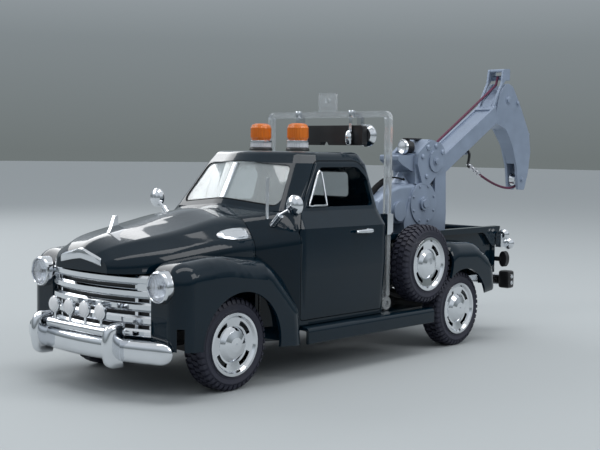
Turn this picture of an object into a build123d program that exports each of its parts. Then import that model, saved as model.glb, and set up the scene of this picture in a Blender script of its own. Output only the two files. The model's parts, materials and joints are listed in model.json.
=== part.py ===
from build123d import *
import math
import os

os.makedirs("parts", exist_ok=True)

# A die-cast model of a round-nosed pickup made into a tow truck, in millimetres.
# +X points forward, +Y to the truck's left, +Z up. Every X below is measured from the
# rear axle, and SHIFT_X at the end moves the origin to the middle of the footprint.

# Running gaps and seats
SEAT_GAP = 0.25         # between two pieces that rest on each other
PANEL_GAP = 0.35        # seam between a door, hood or tailgate and its opening
BORE_GAP = 0.05         # radial clearance of a shaft in its bore

# Wheels
WHEELBASE = 163.7
TYRE_RADIUS = 19.75
TYRE_WIDTH = 11.4
RIM_RADIUS = 12.8
RIM_WALL = 1.2
FRONT_WHEEL_Y = 40.0
REAR_WHEEL_Y = 41.6
HUB_DISC = 1.0          # thickness of the wheel's face
HUB_FACE_OUT = 3.4      # inner side of that face from the tyre's middle plane
CAP_RADIUS = 7.0
CAP_RISE = 2.4
SLOT_RADIUS = 9.4       # the four curved slots between cap and rim
SLOT_WIDTH = 1.9
SLOT_DEGREES = 44.0
AXLE_RADIUS = 1.5
BOSS_RADIUS = 3.2

# Steering
KINGPIN_Y = 37.0
KINGPIN_RADIUS = 1.2
KNUCKLE_HALF_LENGTH = 2.8
KNUCKLE_HALF_HEIGHT = 4.1
YOKE_THICKNESS = 1.8
BEAM_LOW = 13.5
BEAM_HIGH = 17.0
BEAM_HALF_LENGTH = 2.2

# Chassis
RAIL_Y = 16.5
RAIL_WIDTH = 3.2
RAIL_HIGH = 23.0
RAIL_DEPTH = 4.4
RAIL_FRONT_X = 197.0
RAIL_REAR_X = -50.0
KICK_START_X = 46.0
KICK_END_X = 30.0
CROSSMEMBER = 4.0
SPRING_HALF_LENGTH = 25.0
SPRING_LEAF = 1.4
REAR_TUBE_RADIUS = 2.4
DIFFERENTIAL_RADIUS = 7.0
ENGINE_X = (150.0, 183.0)
ENGINE_HALF_WIDTH = 12.5
ENGINE_HIGH = 56.0

# Cab
CAB_WALL = 2.2
CAB_LOW = 23.3
CAB_TOP = 100.9
FLOOR_THICKNESS = 1.8
COWL_FRONT_X = 139.0
DOOR_FRONT_X = 123.4
DOOR_REAR_X = 62.0
DOOR_LOW = 25.7
BELT_Z = 74.0
GLASS = 0.8

# Hood
HOOD_SHEET = 1.2
HOOD_LOW = 50.4
HOOD_NOSE_X = 208.5
HOOD_HALF_WIDTH = 33.0

# Fenders and running boards
FENDER_FRONT_X = 199.0
FENDER_OUT_Y = 51.0
FENDER_IN_Y = HOOD_HALF_WIDTH + PANEL_GAP
FENDER_SHEET = 1.4
FENDER_ROUND = 8.0
FENDER_REAR_X = 123.8
FENDER_SKIRT_Z = 15.5
FRONT_ARCH_RADIUS = 22.7
REAR_ARCH_RADIUS = 21.3
BOARD_HIGH = 23.0
BOARD_LOW = 15.6
BOARD_REAR_X = 27.0
BOARD_OUT_Y = 51.3
BOARD_IN_Y = 30.0

# Nose
GRILLE_HALF_WIDTH = 33.2
GRILLE_LOW = 24.2
GRILLE_HIGH = 49.8
GRILLE_BARS = 5
GRILLE_BAR_HEIGHT = 3.9
GRILLE_BAR_DEPTH = 2.6
GRILLE_CENTRE_X = 204.5
GRILLE_END_X = 198.6
LAMP_Y = 39.8
LAMP_Z = 46.2
BEZEL_RADIUS = 6.6
LENS_RADIUS = 5.6
BUMPER_CENTRE_X = 212.5
BUMPER_END_X = 203.0
BUMPER_HALF_WIDTH = 47.2
BUMPER_LOW = 15.6
BUMPER_HIGH = 24.8
BUMPER_DEPTH = 3.4
GUARD_Y = 24.3
GUARD_WIDTH = 5.0
GUARD_LOW = 12.8
GUARD_HIGH = 31.4
GUARD_FRONT_X = 216.2
SPOT_RADIUS = 3.5
SPOT_Z = 34.9
SPOT_SPACING = 10.4
SPOT_BAR_RADIUS = 1.9
SPOT_BAR_HALF = 19.5

# Bed
BED_FRONT_X = 57.0
BED_REAR_X = -52.0
BED_FLOOR_LOW = 34.4
BED_FLOOR_HIGH = 36.0
BED_OUT_Y = 35.2
BED_WALL = 1.8
BED_RAIL_LOW = 57.6
BED_RAIL_HIGH = 60.4
BED_RAIL_Y = 37.5
RAIL_FLARE_Z = 50.0
TAILGATE_SHEET = 1.8
TAILGATE_PIN_RADIUS = 1.0

# Spare wheel, on the left
SPARE_X = 31.6
SPARE_Y = 44.3
SPARE_Z = 45.4
SPARE_NOTCH = 20.7

# Hoop behind the cab and what hangs from it
HOOP_X = 53.7
HOOP_ROD = 2.9
HOOP_Y = 39.6
HOOP_HIGH = 121.5
HOOP_ROUND = 4.0
HOOP_EYE_RADIUS = 3.4
HOOP_EYE_HOLE = 1.3
TAB_HALF_WIDTH = 5.7
TAB_HIGH = 131.0
TAB_HOLE = 1.25
TAB_THICKNESS = 1.6
HANGER_Y = 20.0
BAR_HALF = 25.0
BAR_LOW = 104.5
BAR_HIGH = 114.5
BAR_THICKNESS = 4.0
BAR_LAMP_RADIUS = 5.6
SLEEVE_LOW = 60.8
SLEEVE_HIGH = 71.0

# Beacons on the roof
BEACON_X = 90.0
BEACON_Y = 12.4
BEACON_RADIUS = 5.2
BEACON_HIGH = CAB_TOP + 13.6

# Crane, in its own plane through the truck's middle
CRANE_X = -24.0         # slewing axis
CRANE_HALF = 9.2        # half width of the turret
TURRET_LOW = 40.0
DRUM_X = -19.5
DRUM_Z = 73.0
DRUM_RADIUS = 12.0
LUFF_X = -29.5
LUFF_Z = 96.8
HEAD_RADIUS = 11.2
CHEEK = 2.2
BOOM_HALF = 6.8
BOOM_DEPTH = 9.5
BOOM_TOP_RISE = -2.9    # upper edge, measured square to the boom from the luffing axis
BOOM_ANGLE = 29.3
BOOM_START = 5.0
BOOM_END_X = -96.3
KNEE_X = -111.5
KNEE_Z = 135.3
KNEE_PIN = 1.4
TONGUE_HALF = 3.4
FOREARM_HALF = 5.8
FOREARM_LOW_HALF = 4.4
FOREARM_CHEEK = 1.6
SHEAVE_X = -132.4
SHEAVE_Z = 85.6
SHEAVE_RADIUS = 4.2
SHEAVE_PIN = 1.0
LINE_RADIUS = 0.75
TIP_ROLLER = (-110.6, 148.9)
LINE_TOP = (-129.0, 135.6)      # upper and lower end of the line behind the forearm
LINE_LOW = (-144.2, 116.4)


def outline(points, radii=None):
    """A flat face from corner points, each corner rounded by its own radius."""
    if radii is None or not any(radii):
        return make_face(Polyline(*points, close=True))
    return make_face(FilletPolyline(*points, radius=radii, close=True))


def along_x(face, low, high):
    """Pull a face drawn as (Y, Z) from X low to X high."""
    return extrude(Plane.YZ.offset(low) * face, amount=high - low)


def along_y(face, low, high):
    """Pull a face drawn as (X, Z) from Y low to Y high."""
    return extrude(Plane.XZ.offset(-high) * face, amount=high - low)


def along_z(face, low, high):
    """Pull a face drawn as (X, Y) from Z low to Z high."""
    return extrude(Plane.XY.offset(low) * face, amount=high - low)


def block(x, y, z):
    """A box from three (low, high) pairs."""
    size = (x[1] - x[0], y[1] - y[0], z[1] - z[0])
    middle = ((x[0] + x[1]) / 2, (y[0] + y[1]) / 2, (z[0] + z[1]) / 2)
    return Pos(*middle) * Box(*size)


def rod_x(radius, low, high, y, z):
    return Pos((low + high) / 2, y, z) * Rot(0, 90, 0) * Cylinder(radius, high - low)


def rod_y(radius, low, high, x, z):
    return Pos(x, (low + high) / 2, z) * Rot(90, 0, 0) * Cylinder(radius, high - low)


def rod_z(radius, low, high, x, y):
    return Pos(x, y, (low + high) / 2) * Cylinder(radius, high - low)


def turned_y(profile, x, y, z, side=1):
    """Turn a (radius, outward) profile about a Y axis; side -1 faces the right."""
    face = make_face(Polyline(*profile, close=True))
    solid = revolve(Plane.XY * face, Axis.Y)
    if side < 0:
        solid = mirror(solid, Plane.XZ)
    return Pos(x, y, z) * solid


def turned_x(profile, x, y, z):
    """Turn a (radius, forward) profile about an X axis."""
    face = make_face(Polyline(*profile, close=True))
    solid = revolve(Plane.XY * face, Axis.Y)
    return Pos(x, y, z) * Rot(0, 0, -90) * solid


def turned_z(profile, x, y, z):
    """Turn a (radius, height) profile about a Z axis."""
    face = make_face(Polyline(*profile, close=True))
    return Pos(x, y, z) * revolve(Plane.XZ * face, Axis.Z)


def both_sides(solid):
    return [solid, mirror(solid, Plane.XZ)]


def fused(first, *others):
    solid = first
    for other in others:
        solid = solid + other
    return solid


# Wheels

def tyre_at(x, y, z, side):
    """A tyre with a flat tread, round shoulders and a bead that seats on the rim."""
    half = TYRE_WIDTH / 2
    bead = HUB_FACE_OUT + HUB_DISC + 0.6
    profile = [
        (RIM_RADIUS, -bead), (RIM_RADIUS, bead), (RIM_RADIUS + 0.9, bead),
        (RIM_RADIUS + 2.2, half - 0.2), (TYRE_RADIUS - 3.0, half), (TYRE_RADIUS - 1.1, half - 0.5),
        (TYRE_RADIUS - 0.2, half - 1.5), (TYRE_RADIUS, half - 2.6), (TYRE_RADIUS, -half + 2.6),
        (TYRE_RADIUS - 0.2, -half + 1.5), (TYRE_RADIUS - 1.1, -half + 0.5), (TYRE_RADIUS - 3.0, -half),
        (RIM_RADIUS + 2.2, -half + 0.2), (RIM_RADIUS + 0.9, -bead),
    ]
    return turned_y(profile, x, y, z, side)


def slot_face():
    """One curved slot of the wheel's face, drawn about the wheel's centre."""
    low, high = SLOT_RADIUS - SLOT_WIDTH / 2, SLOT_RADIUS + SLOT_WIDTH / 2
    half = SLOT_DEGREES / 2
    inner = CenterArc((0, 0), low, -half, SLOT_DEGREES)
    outer = CenterArc((0, 0), high, -half, SLOT_DEGREES)
    return make_face([inner, outer, Line(inner @ 0, outer @ 0), Line(inner @ 1, outer @ 1)])


def hub_at(x, y, z, side):
    """A deep dished wheel: rim barrel, slotted face, domed cap and a bored boss."""
    face = HUB_FACE_OUT
    out = face + HUB_DISC
    bead = out + 0.6
    profile = [
        (AXLE_RADIUS + BORE_GAP, 0.0), (BOSS_RADIUS, 0.0), (BOSS_RADIUS, face),
        (RIM_RADIUS - RIM_WALL, face), (RIM_RADIUS - RIM_WALL, -bead), (RIM_RADIUS, -bead),
        (RIM_RADIUS, bead), (RIM_RADIUS + 0.8, bead), (RIM_RADIUS + 0.6, bead + 0.9),
        (RIM_RADIUS - 0.6, bead + 1.0), (RIM_RADIUS - 1.4, out + 0.5), (CAP_RADIUS + 0.6, out),
        (CAP_RADIUS, out + 0.5), (CAP_RADIUS - 1.2, out + 0.6 * CAP_RISE),
        (CAP_RADIUS * 0.45, out + 0.92 * CAP_RISE), (0.0, out + CAP_RISE),
        (0.0, face + 0.3), (AXLE_RADIUS + BORE_GAP, face + 0.3),
    ]
    solid = turned_y(profile, 0, 0, 0)
    cutter = along_y(slot_face(), face - 0.5, out + 1.5)
    for quarter in range(4):
        solid = solid - Rot(0, 45 + 90 * quarter, 0) * cutter
    if side < 0:
        solid = mirror(solid, Plane.XZ)
    return Pos(x, y, z) * solid


# Chassis, axles and steering

def rail_face():
    """Side view of one chassis rail, kicked up over the rear axle."""
    kick = BED_FLOOR_LOW - SEAT_GAP - RAIL_HIGH
    points = [
        (RAIL_REAR_X, RAIL_HIGH + kick - RAIL_DEPTH), (KICK_END_X - 2, RAIL_HIGH + kick - RAIL_DEPTH),
        (KICK_START_X - 4, RAIL_HIGH - RAIL_DEPTH), (RAIL_FRONT_X, RAIL_HIGH - RAIL_DEPTH),
        (RAIL_FRONT_X, RAIL_HIGH), (KICK_START_X, RAIL_HIGH),
        (KICK_END_X + 2, RAIL_HIGH + kick), (RAIL_REAR_X, RAIL_HIGH + kick),
    ]
    return outline(points, [0, 4, 4, 1, 1, 4, 4, 0])


def make_chassis():
    """Two rails joined by crossmembers."""
    frame = along_y(rail_face(), RAIL_Y - RAIL_WIDTH / 2, RAIL_Y + RAIL_WIDTH / 2)
    frame = frame + mirror(frame, Plane.XZ)
    kick = BED_FLOOR_LOW - SEAT_GAP - RAIL_HIGH
    members = [  # X of the middle, rise above the low part of the rails
        (RAIL_FRONT_X - CROSSMEMBER, 0), (ENGINE_X[0] - 8, 0), (95, 0), (60, 0),
        (18, kick), (-18, kick), (RAIL_REAR_X + CROSSMEMBER / 2, kick),
    ]
    for middle, rise in members:
        low = RAIL_HIGH - RAIL_DEPTH + rise + 0.4
        high = RAIL_HIGH + rise - 0.4
        frame = frame + block(
            (middle - CROSSMEMBER / 2, middle + CROSSMEMBER / 2), (-RAIL_Y, RAIL_Y), (low, high))
    return frame


def leaf_spring(x, ends_z, middle_z):
    """One bowed leaf under a rail, from ends_z at its eyes to middle_z over the axle."""
    top = ThreePointArc(
        (x - SPRING_HALF_LENGTH, ends_z), (x, middle_z), (x + SPRING_HALF_LENGTH, ends_z))
    low = ThreePointArc(
        (x - SPRING_HALF_LENGTH, ends_z - SPRING_LEAF), (x, middle_z - SPRING_LEAF),
        (x + SPRING_HALF_LENGTH, ends_z - SPRING_LEAF))
    face = make_face([top, low, Line(top @ 0, low @ 0), Line(top @ 1, low @ 1)])
    return along_y(face, RAIL_Y - RAIL_WIDTH / 2, RAIL_Y + RAIL_WIDTH / 2)


def make_front_axle():
    """Dropped beam with a yoke and kingpin at each end, and its two leaf springs."""
    x = WHEELBASE
    top = TYRE_RADIUS + KNUCKLE_HALF_HEIGHT + SEAT_GAP
    low = TYRE_RADIUS - KNUCKLE_HALF_HEIGHT - SEAT_GAP
    yoke_out = KINGPIN_Y + KINGPIN_RADIUS + 1.4
    web_out = KINGPIN_Y - 4.3
    lengthwise = (x - BEAM_HALF_LENGTH, x + BEAM_HALF_LENGTH)
    beam = block(lengthwise, (-web_out, web_out), (BEAM_LOW, BEAM_HIGH))
    for side in (1, -1):
        reach = sorted((side * (web_out - 2.2), side * web_out))
        full = sorted((side * (web_out - 2.2), side * yoke_out))
        beam = fused(
            beam,
            block(lengthwise, reach, (low - YOKE_THICKNESS, top + YOKE_THICKNESS)),
            block(lengthwise, full, (top, top + YOKE_THICKNESS)),
            block(lengthwise, full, (low - YOKE_THICKNESS, low)),
            rod_z(KINGPIN_RADIUS, low - 0.2, top + 0.2, x, side * KINGPIN_Y),
        )
    spring = leaf_spring(x, RAIL_HIGH - RAIL_DEPTH - SEAT_GAP, BEAM_HIGH + SPRING_LEAF - 0.2)
    return fused(beam, *both_sides(spring))


def make_knuckle(side):
    """Steering knuckle: a bored block on the kingpin, with the wheel's stub axle."""
    x = WHEELBASE
    y_in = KINGPIN_Y - KNUCKLE_HALF_LENGTH
    y_out = KINGPIN_Y + 2.3
    body = block(
        (x - KNUCKLE_HALF_LENGTH, x + KNUCKLE_HALF_LENGTH), (y_in, y_out),
        (TYRE_RADIUS - KNUCKLE_HALF_HEIGHT, TYRE_RADIUS + KNUCKLE_HALF_HEIGHT))
    body = fillet(body.edges().filter_by(Axis.Z), 1.0)
    stub_end = FRONT_WHEEL_Y + HUB_FACE_OUT - 0.1
    body = body + rod_y(AXLE_RADIUS, y_out - 0.5, stub_end, x, TYRE_RADIUS)
    body = body - rod_z(KINGPIN_RADIUS + BORE_GAP, 0, 2 * TYRE_RADIUS, x, KINGPIN_Y)
    return body if side > 0 else mirror(body, Plane.XZ)


def make_rear_axle():
    """Tube with its round differential housing, stub ends and two leaf springs."""
    tube_end = REAR_WHEEL_Y - TYRE_WIDTH / 2 - 1.2
    stub_end = REAR_WHEEL_Y + HUB_FACE_OUT - 0.1
    axle = rod_y(REAR_TUBE_RADIUS, -tube_end, tube_end, 0, TYRE_RADIUS)
    axle = axle + rod_y(AXLE_RADIUS, -stub_end, stub_end, 0, TYRE_RADIUS)
    housing = Pos(0, 0, TYRE_RADIUS) * Sphere(DIFFERENTIAL_RADIUS)
    kick_low = BED_FLOOR_LOW - SEAT_GAP - RAIL_DEPTH
    spring = leaf_spring(0, kick_low - SEAT_GAP, TYRE_RADIUS + REAR_TUBE_RADIUS + SPRING_LEAF - 0.2)
    return fused(axle, housing, *both_sides(spring))


def make_engine_block():
    low = RAIL_HIGH - RAIL_DEPTH
    body = block(ENGINE_X, (-ENGINE_HALF_WIDTH, ENGINE_HALF_WIDTH), (low, ENGINE_HIGH))
    body = chamfer(body.edges().filter_by(Axis.X).group_by(Axis.Z)[-1], 4)
    foot_out = RAIL_Y + RAIL_WIDTH / 2
    for x in (ENGINE_X[0] + 5, ENGINE_X[1] - 9):
        foot = block((x, x + 4), (-foot_out, foot_out), (RAIL_HIGH + SEAT_GAP, RAIL_HIGH + 3))
        body = body + foot
    return body


# Cab, built on level sections that are joined by straight panels

CAB_LEVELS = [
    # Z, rear X, rear half width, door corner X and half width, pillar X and half width, middle X
    (CAB_LOW, 59.6, 45.0, 124.0, 45.6, 125.5, 34.0, 127.6),
    (48.0, 59.3, 46.5, 124.0, 46.8, 125.5, 34.0, 127.6),
    (66.5, 59.3, 46.2, 124.0, 46.2, 125.5, 34.0, 128.6),
    (BELT_Z, 59.8, 41.4, 119.5, 40.4, 124.8, 34.4, 131.4),
    (95.5, 61.5, 34.8, 100.0, 33.6, 109.4, 29.6, 121.4),
    (CAB_TOP, 64.0, 31.5, 97.0, 30.4, 105.4, 27.2, 116.4),
]
CAB_REAR_ROUND = 6.5
CAB_DOOR_ROUND = 4.0
CAB_PILLAR_ROUND = 5.0
CAB_MIDDLE_ROUND = 30.0
ROOF_ROUND = 5.0


def cab_level(row, inset, z=None):
    """One level section of the cab, moved inwards by inset."""
    height, rear, half, door, door_half, pillar, pillar_half, middle = row
    points = [
        (rear + inset, half - inset), (door - inset * 0.8, door_half - inset),
        (pillar - inset, pillar_half - inset * 0.5), (middle - inset * 1.05, 0),
        (pillar - inset, inset * 0.5 - pillar_half), (door - inset * 0.8, inset - door_half),
        (rear + inset, inset - half),
    ]
    rear_round = CAB_REAR_ROUND - inset
    radii = [
        rear_round, CAB_DOOR_ROUND - inset * 0.5, CAB_PILLAR_ROUND, CAB_MIDDLE_ROUND,
        CAB_PILLAR_ROUND, CAB_DOOR_ROUND - inset * 0.5, rear_round,
    ]
    return Plane.XY.offset(height if z is None else z) * outline(points, radii)


def cab_form(inset=0.0):
    """The closed outer form of the cab, or the same moved inwards by inset."""
    sections = [cab_level(row, inset) for row in CAB_LEVELS[:-1]]
    sections[0] = cab_level(CAB_LEVELS[0], inset, CAB_LOW - (1.0 if inset else 0.0))
    sections.append(cab_level(CAB_LEVELS[-1], inset, CAB_TOP - inset))
    form = loft(sections, ruled=True)
    if inset < ROOF_ROUND - 2:
        top = form.edges().group_by(Axis.Z)[-1]
        form = fillet(top, ROOF_ROUND - inset)
    return form


SCUTTLE_SECTIONS = [
    # X, half width, shoulder Z, crown half width, crown Z, top Z, corner radius
    (118.0, 45.9, 64.0, 36.0, 73.4, 78.4, 9.0),
    (124.0, 45.9, 64.0, 34.5, 73.6, 77.6, 9.0),
    (COWL_FRONT_X, HOOD_HALF_WIDTH, 60.0, 24.5, 71.2, 74.8, 10.0),
]
HOOD_SECTIONS = [
    # X, half width, shoulder Z, crown half width, crown Z, top Z, corner radius
    (COWL_FRONT_X + PANEL_GAP, HOOD_HALF_WIDTH, 60.0, 24.5, 71.2, 74.8, 10.0),
    (166.0, 32.4, 59.2, 23.5, 68.2, 71.4, 9.0),
    (189.0, 30.6, 57.6, 20.5, 64.2, 66.6, 7.5),
    (202.0, 25.5, 56.0, 15.0, 61.2, 63.2, 5.5),
    (HOOD_NOSE_X, 17.0, 54.2, 9.0, 57.4, 58.8, 3.6),
]


def crowned_section(row, low, inset):
    """A crosswise section: upright sides, round shoulders and a crowned top."""
    x, half, shoulder, crown_half, crown, top, corner = row
    half = half - inset
    crown_half = crown_half - inset * 0.5
    points = [
        (half, low), (half, shoulder - inset * 0.4), (crown_half, crown - inset), (0, top - inset),
        (-crown_half, crown - inset), (-half, shoulder - inset * 0.4), (-half, low),
    ]
    round_inner = corner - inset * 0.5
    radii = [0, round_inner, round_inner, 4 * corner, round_inner, round_inner, 0]
    return Plane.YZ.offset(x) * outline(points, radii)


def cowl_form(inset=0.0):
    """The closed form between the windshield and the hood's rear edge."""
    low = CAB_LOW - (1.0 if inset else 0.0)
    rows = list(SCUTTLE_SECTIONS)
    if inset:
        front = rows[-1]
        rows[-1] = (front[0] - inset,) + front[1:]
    return loft([crowned_section(row, low, inset) for row in rows], ruled=True)


DOOR_POINTS = [
    # X, Z, corner radius of the door's outline
    (DOOR_REAR_X, DOOR_LOW, 2.5), (DOOR_FRONT_X, DOOR_LOW, 1.5), (DOOR_FRONT_X, 66.0, 6.0),
    (117.6, BELT_Z + 0.3, 6.0), (100.4, 96.4, 4.0), (71.0, 96.6, 8.0), (63.6, 89.0, 8.0),
    (DOOR_REAR_X, BELT_Z, 12.0),
]
SIDE_WINDOW_POINTS = [
    # X, Z, corner radius of the window in the door
    (66.6, BELT_Z + 1.6, 2.0), (113.6, BELT_Z + 1.6, 1.2), (98.2, 93.7, 3.0),
    (72.0, 93.9, 5.0), (66.6, 88.6, 5.0),
]
DOOR_CUT_Y = 29.5
WINDSHIELD_POINTS = [
    # Y, Z, corner radius of the windshield's opening
    (32.6, 75.6, 3.0), (27.4, 94.6, 3.5), (0.0, 96.4, 60.0), (-27.4, 94.6, 3.5),
    (-32.6, 75.6, 3.0), (0.0, 78.8, 60.0),
]
REAR_WINDOW_HALF = 22.0
REAR_WINDOW_LOW = 78.5
REAR_WINDOW_HIGH = 91.5


def face_from(table, grow=0.0):
    """A rounded face from rows of two places and a corner radius, grown all round."""
    face = outline([row[:2] for row in table], [row[2] for row in table])
    return offset(face, amount=grow) if grow else face


def windshield_prism():
    return along_x(face_from(WINDSHIELD_POINTS), 101.0, 134.0)


def rear_window_prism():
    middle = (REAR_WINDOW_LOW + REAR_WINDOW_HIGH) / 2
    face = Pos(0, middle) * RectangleRounded(
        2 * REAR_WINDOW_HALF, REAR_WINDOW_HIGH - REAR_WINDOW_LOW, 3.0)
    return along_x(face, 55.0, 67.0)


def cab_walls():
    """The cab's walls before its openings are cut."""
    outer = cab_form() + cowl_form()
    return outer - cab_form(CAB_WALL) - cowl_form(CAB_WALL)


def make_cab_and_doors():
    """The shell with its openings, and the two doors cut from the same walls."""
    walls = cab_walls()
    door_cut = along_y(face_from(DOOR_POINTS, PANEL_GAP), DOOR_CUT_Y, 60.0)
    door_body = along_y(face_from(DOOR_POINTS), DOOR_CUT_Y, 60.0)
    window = along_y(face_from(SIDE_WINDOW_POINTS), DOOR_CUT_Y - 5, 60.0)
    door = (walls & door_body) - window
    shell = walls - door_cut - mirror(door_cut, Plane.XZ)
    shell = shell - windshield_prism() - rear_window_prism()
    return shell, door, mirror(door, Plane.XZ)


def make_glass():
    """Windshield and rear window, as thin layers of the cab's own form."""
    layer = cab_form(0.7) - cab_form(0.7 + GLASS)
    return layer & windshield_prism(), layer & rear_window_prism()


VENT_POINTS = [
    # X, Z, corner radius of the swivelling window's frame, along the door window's front edge
    (112.4, BELT_Z + 1.9, 0.8), (101.0, BELT_Z + 1.9, 0.8), (100.4, 90.0, 1.0),
]
VENT_BAR = 0.9
HANDLE_X = (74.6, 89.4)
HANDLE_Z = 64.0


def make_door_trim():
    """Frame of the small front window and the handle, both on the left door."""
    face = face_from(VENT_POINTS)
    ring = along_y(face - offset(face, amount=-VENT_BAR), 20.0, 60.0)
    frame = (cab_form(0.4) - cab_form(1.7)) & ring
    front, rear = HANDLE_X
    grip_face = outline([(front, HANDLE_Z - 0.7), (rear - 3, HANDLE_Z - 1.2), (rear, HANDLE_Z - 1.2),
                         (rear, HANDLE_Z + 1.2), (rear - 3, HANDLE_Z + 1.2), (front, HANDLE_Z + 0.7)],
                        [0.6, 3, 1.0, 1.0, 3, 0.6])
    grip = along_y(grip_face, 47.4, 48.8)
    post = rod_y(1.1, 46.5, 47.6, rear - 1.8, HANDLE_Z)
    return [frame.solids().sort_by(Axis.Y)[-1], fused(grip, post)]


def make_windshield_divider():
    """Upright strip down the middle of the windshield, on the outside of the glass."""
    strip = block((101.0, 134.0), (-1.3, 1.3), (79.3, 95.4))
    return (cab_form(-0.5) - cab_form(0.7 - SEAT_GAP)) & strip


def make_cab_floor():
    inner = cab_form(CAB_WALL + SEAT_GAP)
    slab = block((50, 126), (-60, 60), (CAB_LOW, CAB_LOW + FLOOR_THICKNESS))
    return inner & slab


def make_dashboard():
    """Dashboard across the cab, below the windshield."""
    face = outline([(111, 59.2), (120.5, 60.5), (120.5, 72), (114, 72.5), (110, 69)], [0.5, 1, 1, 2, 2])
    return along_y(face, -36.0, 36.0)


def make_bench_seat():
    """Bench with a raked back, as one upholstered piece."""
    low = CAB_LOW + FLOOR_THICKNESS + SEAT_GAP
    points = [
        (64, low), (92, low), (93.5, 40), (91, 44.5), (74, 43.5), (70.5, 68), (66.5, 70), (63.5, 68),
    ]
    face = outline(points, [1, 1, 2.5, 2.5, 3, 2, 1.5, 1.5])
    return along_y(face, -37.0, 37.0)


def make_steering_wheel():
    """Wheel, hub and column, raked towards the driver on the left."""
    ring = Torus(9.0, 0.8)
    spoke = Box(17.2, 1.3, 1.0) + Box(1.3, 8.6, 1.0).locate(Location((0, -4.3, 0)))
    hub = Cylinder(2.0, 2.0)
    column = Pos(0, 0, -10) * Cylinder(1.0, 20)
    wheel = fused(ring, spoke, hub, column)
    return Pos(101, 18, 64) * Rot(0, -58, 0) * Rot(0, 0, 90) * wheel


# Hood

def hood_form(inset=0.0):
    rows = list(HOOD_SECTIONS)
    low = HOOD_LOW
    if inset:
        low = HOOD_LOW - 1.0
        rows = [(row[0] - inset,) + row[1:] for row in rows]
        rows[0] = (HOOD_SECTIONS[0][0] - 0.5,) + HOOD_SECTIONS[0][1:]
    return loft([crowned_section(row, low, inset) for row in rows])


def make_hood():
    return hood_form() - hood_form(HOOD_SHEET)


def make_hood_trim():
    """Nose plate, side plates and the raised ornament, all bare."""
    plate_out = offset_layer(0.9)
    nose = outline([(13.5, 57.4), (12.5, 60.4), (0, 63.0), (-12.5, 60.4), (-13.5, 57.4), (0, 59.4)],
                   [0.6, 0.6, 3, 0.6, 0.6, 3])
    nose_plate = plate_out & along_x(nose, 190.0, HOOD_NOSE_X + 4)
    side = Pos(141.5, 64.2) * Rot(0, 0, 4) * RectangleRounded(20.0, 4.4, 1.2)
    side_plate = plate_out & along_y(side, 22.0, 40.0)
    fin = outline([(184, 66.2), (196, 63.0), (193.5, 67.2), (191.6, 72.4), (190.2, 72.6), (190.0, 68.6)],
                  [0.6, 0.6, 2, 0.4, 0.4, 2])
    ornament = along_y(fin, -0.9, 0.9) - hood_form(-0.05)
    return [nose_plate, ornament] + both_sides(side_plate)


def offset_layer(thickness):
    """A thin layer that lies on the hood's skin."""
    return hood_form(-thickness) - hood_form(-0.08)


# Fenders and running boards

FRONT_FENDER_INNER = [
    # X, Z, corner radius, in the plane beside the hood
    (FENDER_FRONT_X, 21.0, 0), (FENDER_FRONT_X, 54.5, 9), (172.0, 57.0, 60), (138.0, 54.0, 20),
    (124.0, 50.0, 3), (FENDER_REAR_X, FENDER_SKIRT_Z, 0),
]
FRONT_FENDER_OUTER = [
    # X, Z, corner radius, in the outer plane
    (FENDER_FRONT_X, 21.0, 0), (FENDER_FRONT_X, 55.5, 9), (172.0, 58.5, 60), (148.0, 52.5, 20),
    (128.5, 29.0, 20), (FENDER_REAR_X, FENDER_SKIRT_Z, 0),
]
REAR_FENDER = [
    # X, Z, corner radius
    (27.6, BOARD_LOW + 1.0, 0), (27.6, 36.0, 14), (12.0, 55.4, 16), (-14.0, 54.4, 18), (-31.0, 44.0, 18),
    (-34.0, 24.6, 2),
]


def table_face(table, inset=0.0):
    face = outline([row[:2] for row in table], [row[2] for row in table])
    return offset(face, amount=-inset, kind=Kind.INTERSECTION) if inset else face


def fender_form(inset):
    """Front fender's closed form on the left, its outer edge rounded."""
    low_y = FENDER_IN_Y + (inset if inset else 0)
    high_y = FENDER_OUT_Y - inset
    inner = Plane.XZ.offset(-low_y) * table_face(FRONT_FENDER_INNER, inset)
    outer = Plane.XZ.offset(-high_y) * table_face(FRONT_FENDER_OUTER, inset)
    form = loft([inner, outer], ruled=True)
    edge = [e for e in form.edges() if abs(e.center().Y - high_y) < 0.01 and e.center().Z > 19 + inset]
    return fillet(edge, FENDER_ROUND - inset)


def make_front_fender():
    """Left front fender: a shell, open below and towards the wheel."""
    shell = fender_form(0.0)
    hollow = fender_form(FENDER_SHEET)
    pocket_low = block((FENDER_REAR_X + FENDER_SHEET, FENDER_FRONT_X - FENDER_SHEET),
                       (FENDER_IN_Y + FENDER_SHEET, FENDER_OUT_Y - FENDER_SHEET),
                       (FENDER_SKIRT_Z - 1, 30.0))
    shell = shell - hollow - pocket_low
    wheel = rod_y(FRONT_ARCH_RADIUS, 20, 60, WHEELBASE, TYRE_RADIUS)
    inner_gap = block((WHEELBASE - 25.5, WHEELBASE + 25.5), (20, FENDER_IN_Y + 3), (0, 43.5))
    nose_gap = block((WHEELBASE + 20, FENDER_FRONT_X - 6), (20, FENDER_IN_Y + 3), (0, 30))
    shell = shell - wheel - inner_gap - nose_gap
    shell = shell - cowl_form(-SEAT_GAP)
    shell = shell - block((FENDER_REAR_X - 1, 130), (20, 46.3 + SEAT_GAP), (CAB_LOW - 1, 60))
    shell = shell - rod_x(BEZEL_RADIUS + 0.05, FENDER_FRONT_X - 4, FENDER_FRONT_X + 9, LAMP_Y, LAMP_Z)
    return shell.solids().sort_by(SortBy.VOLUME)[-1]


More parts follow.
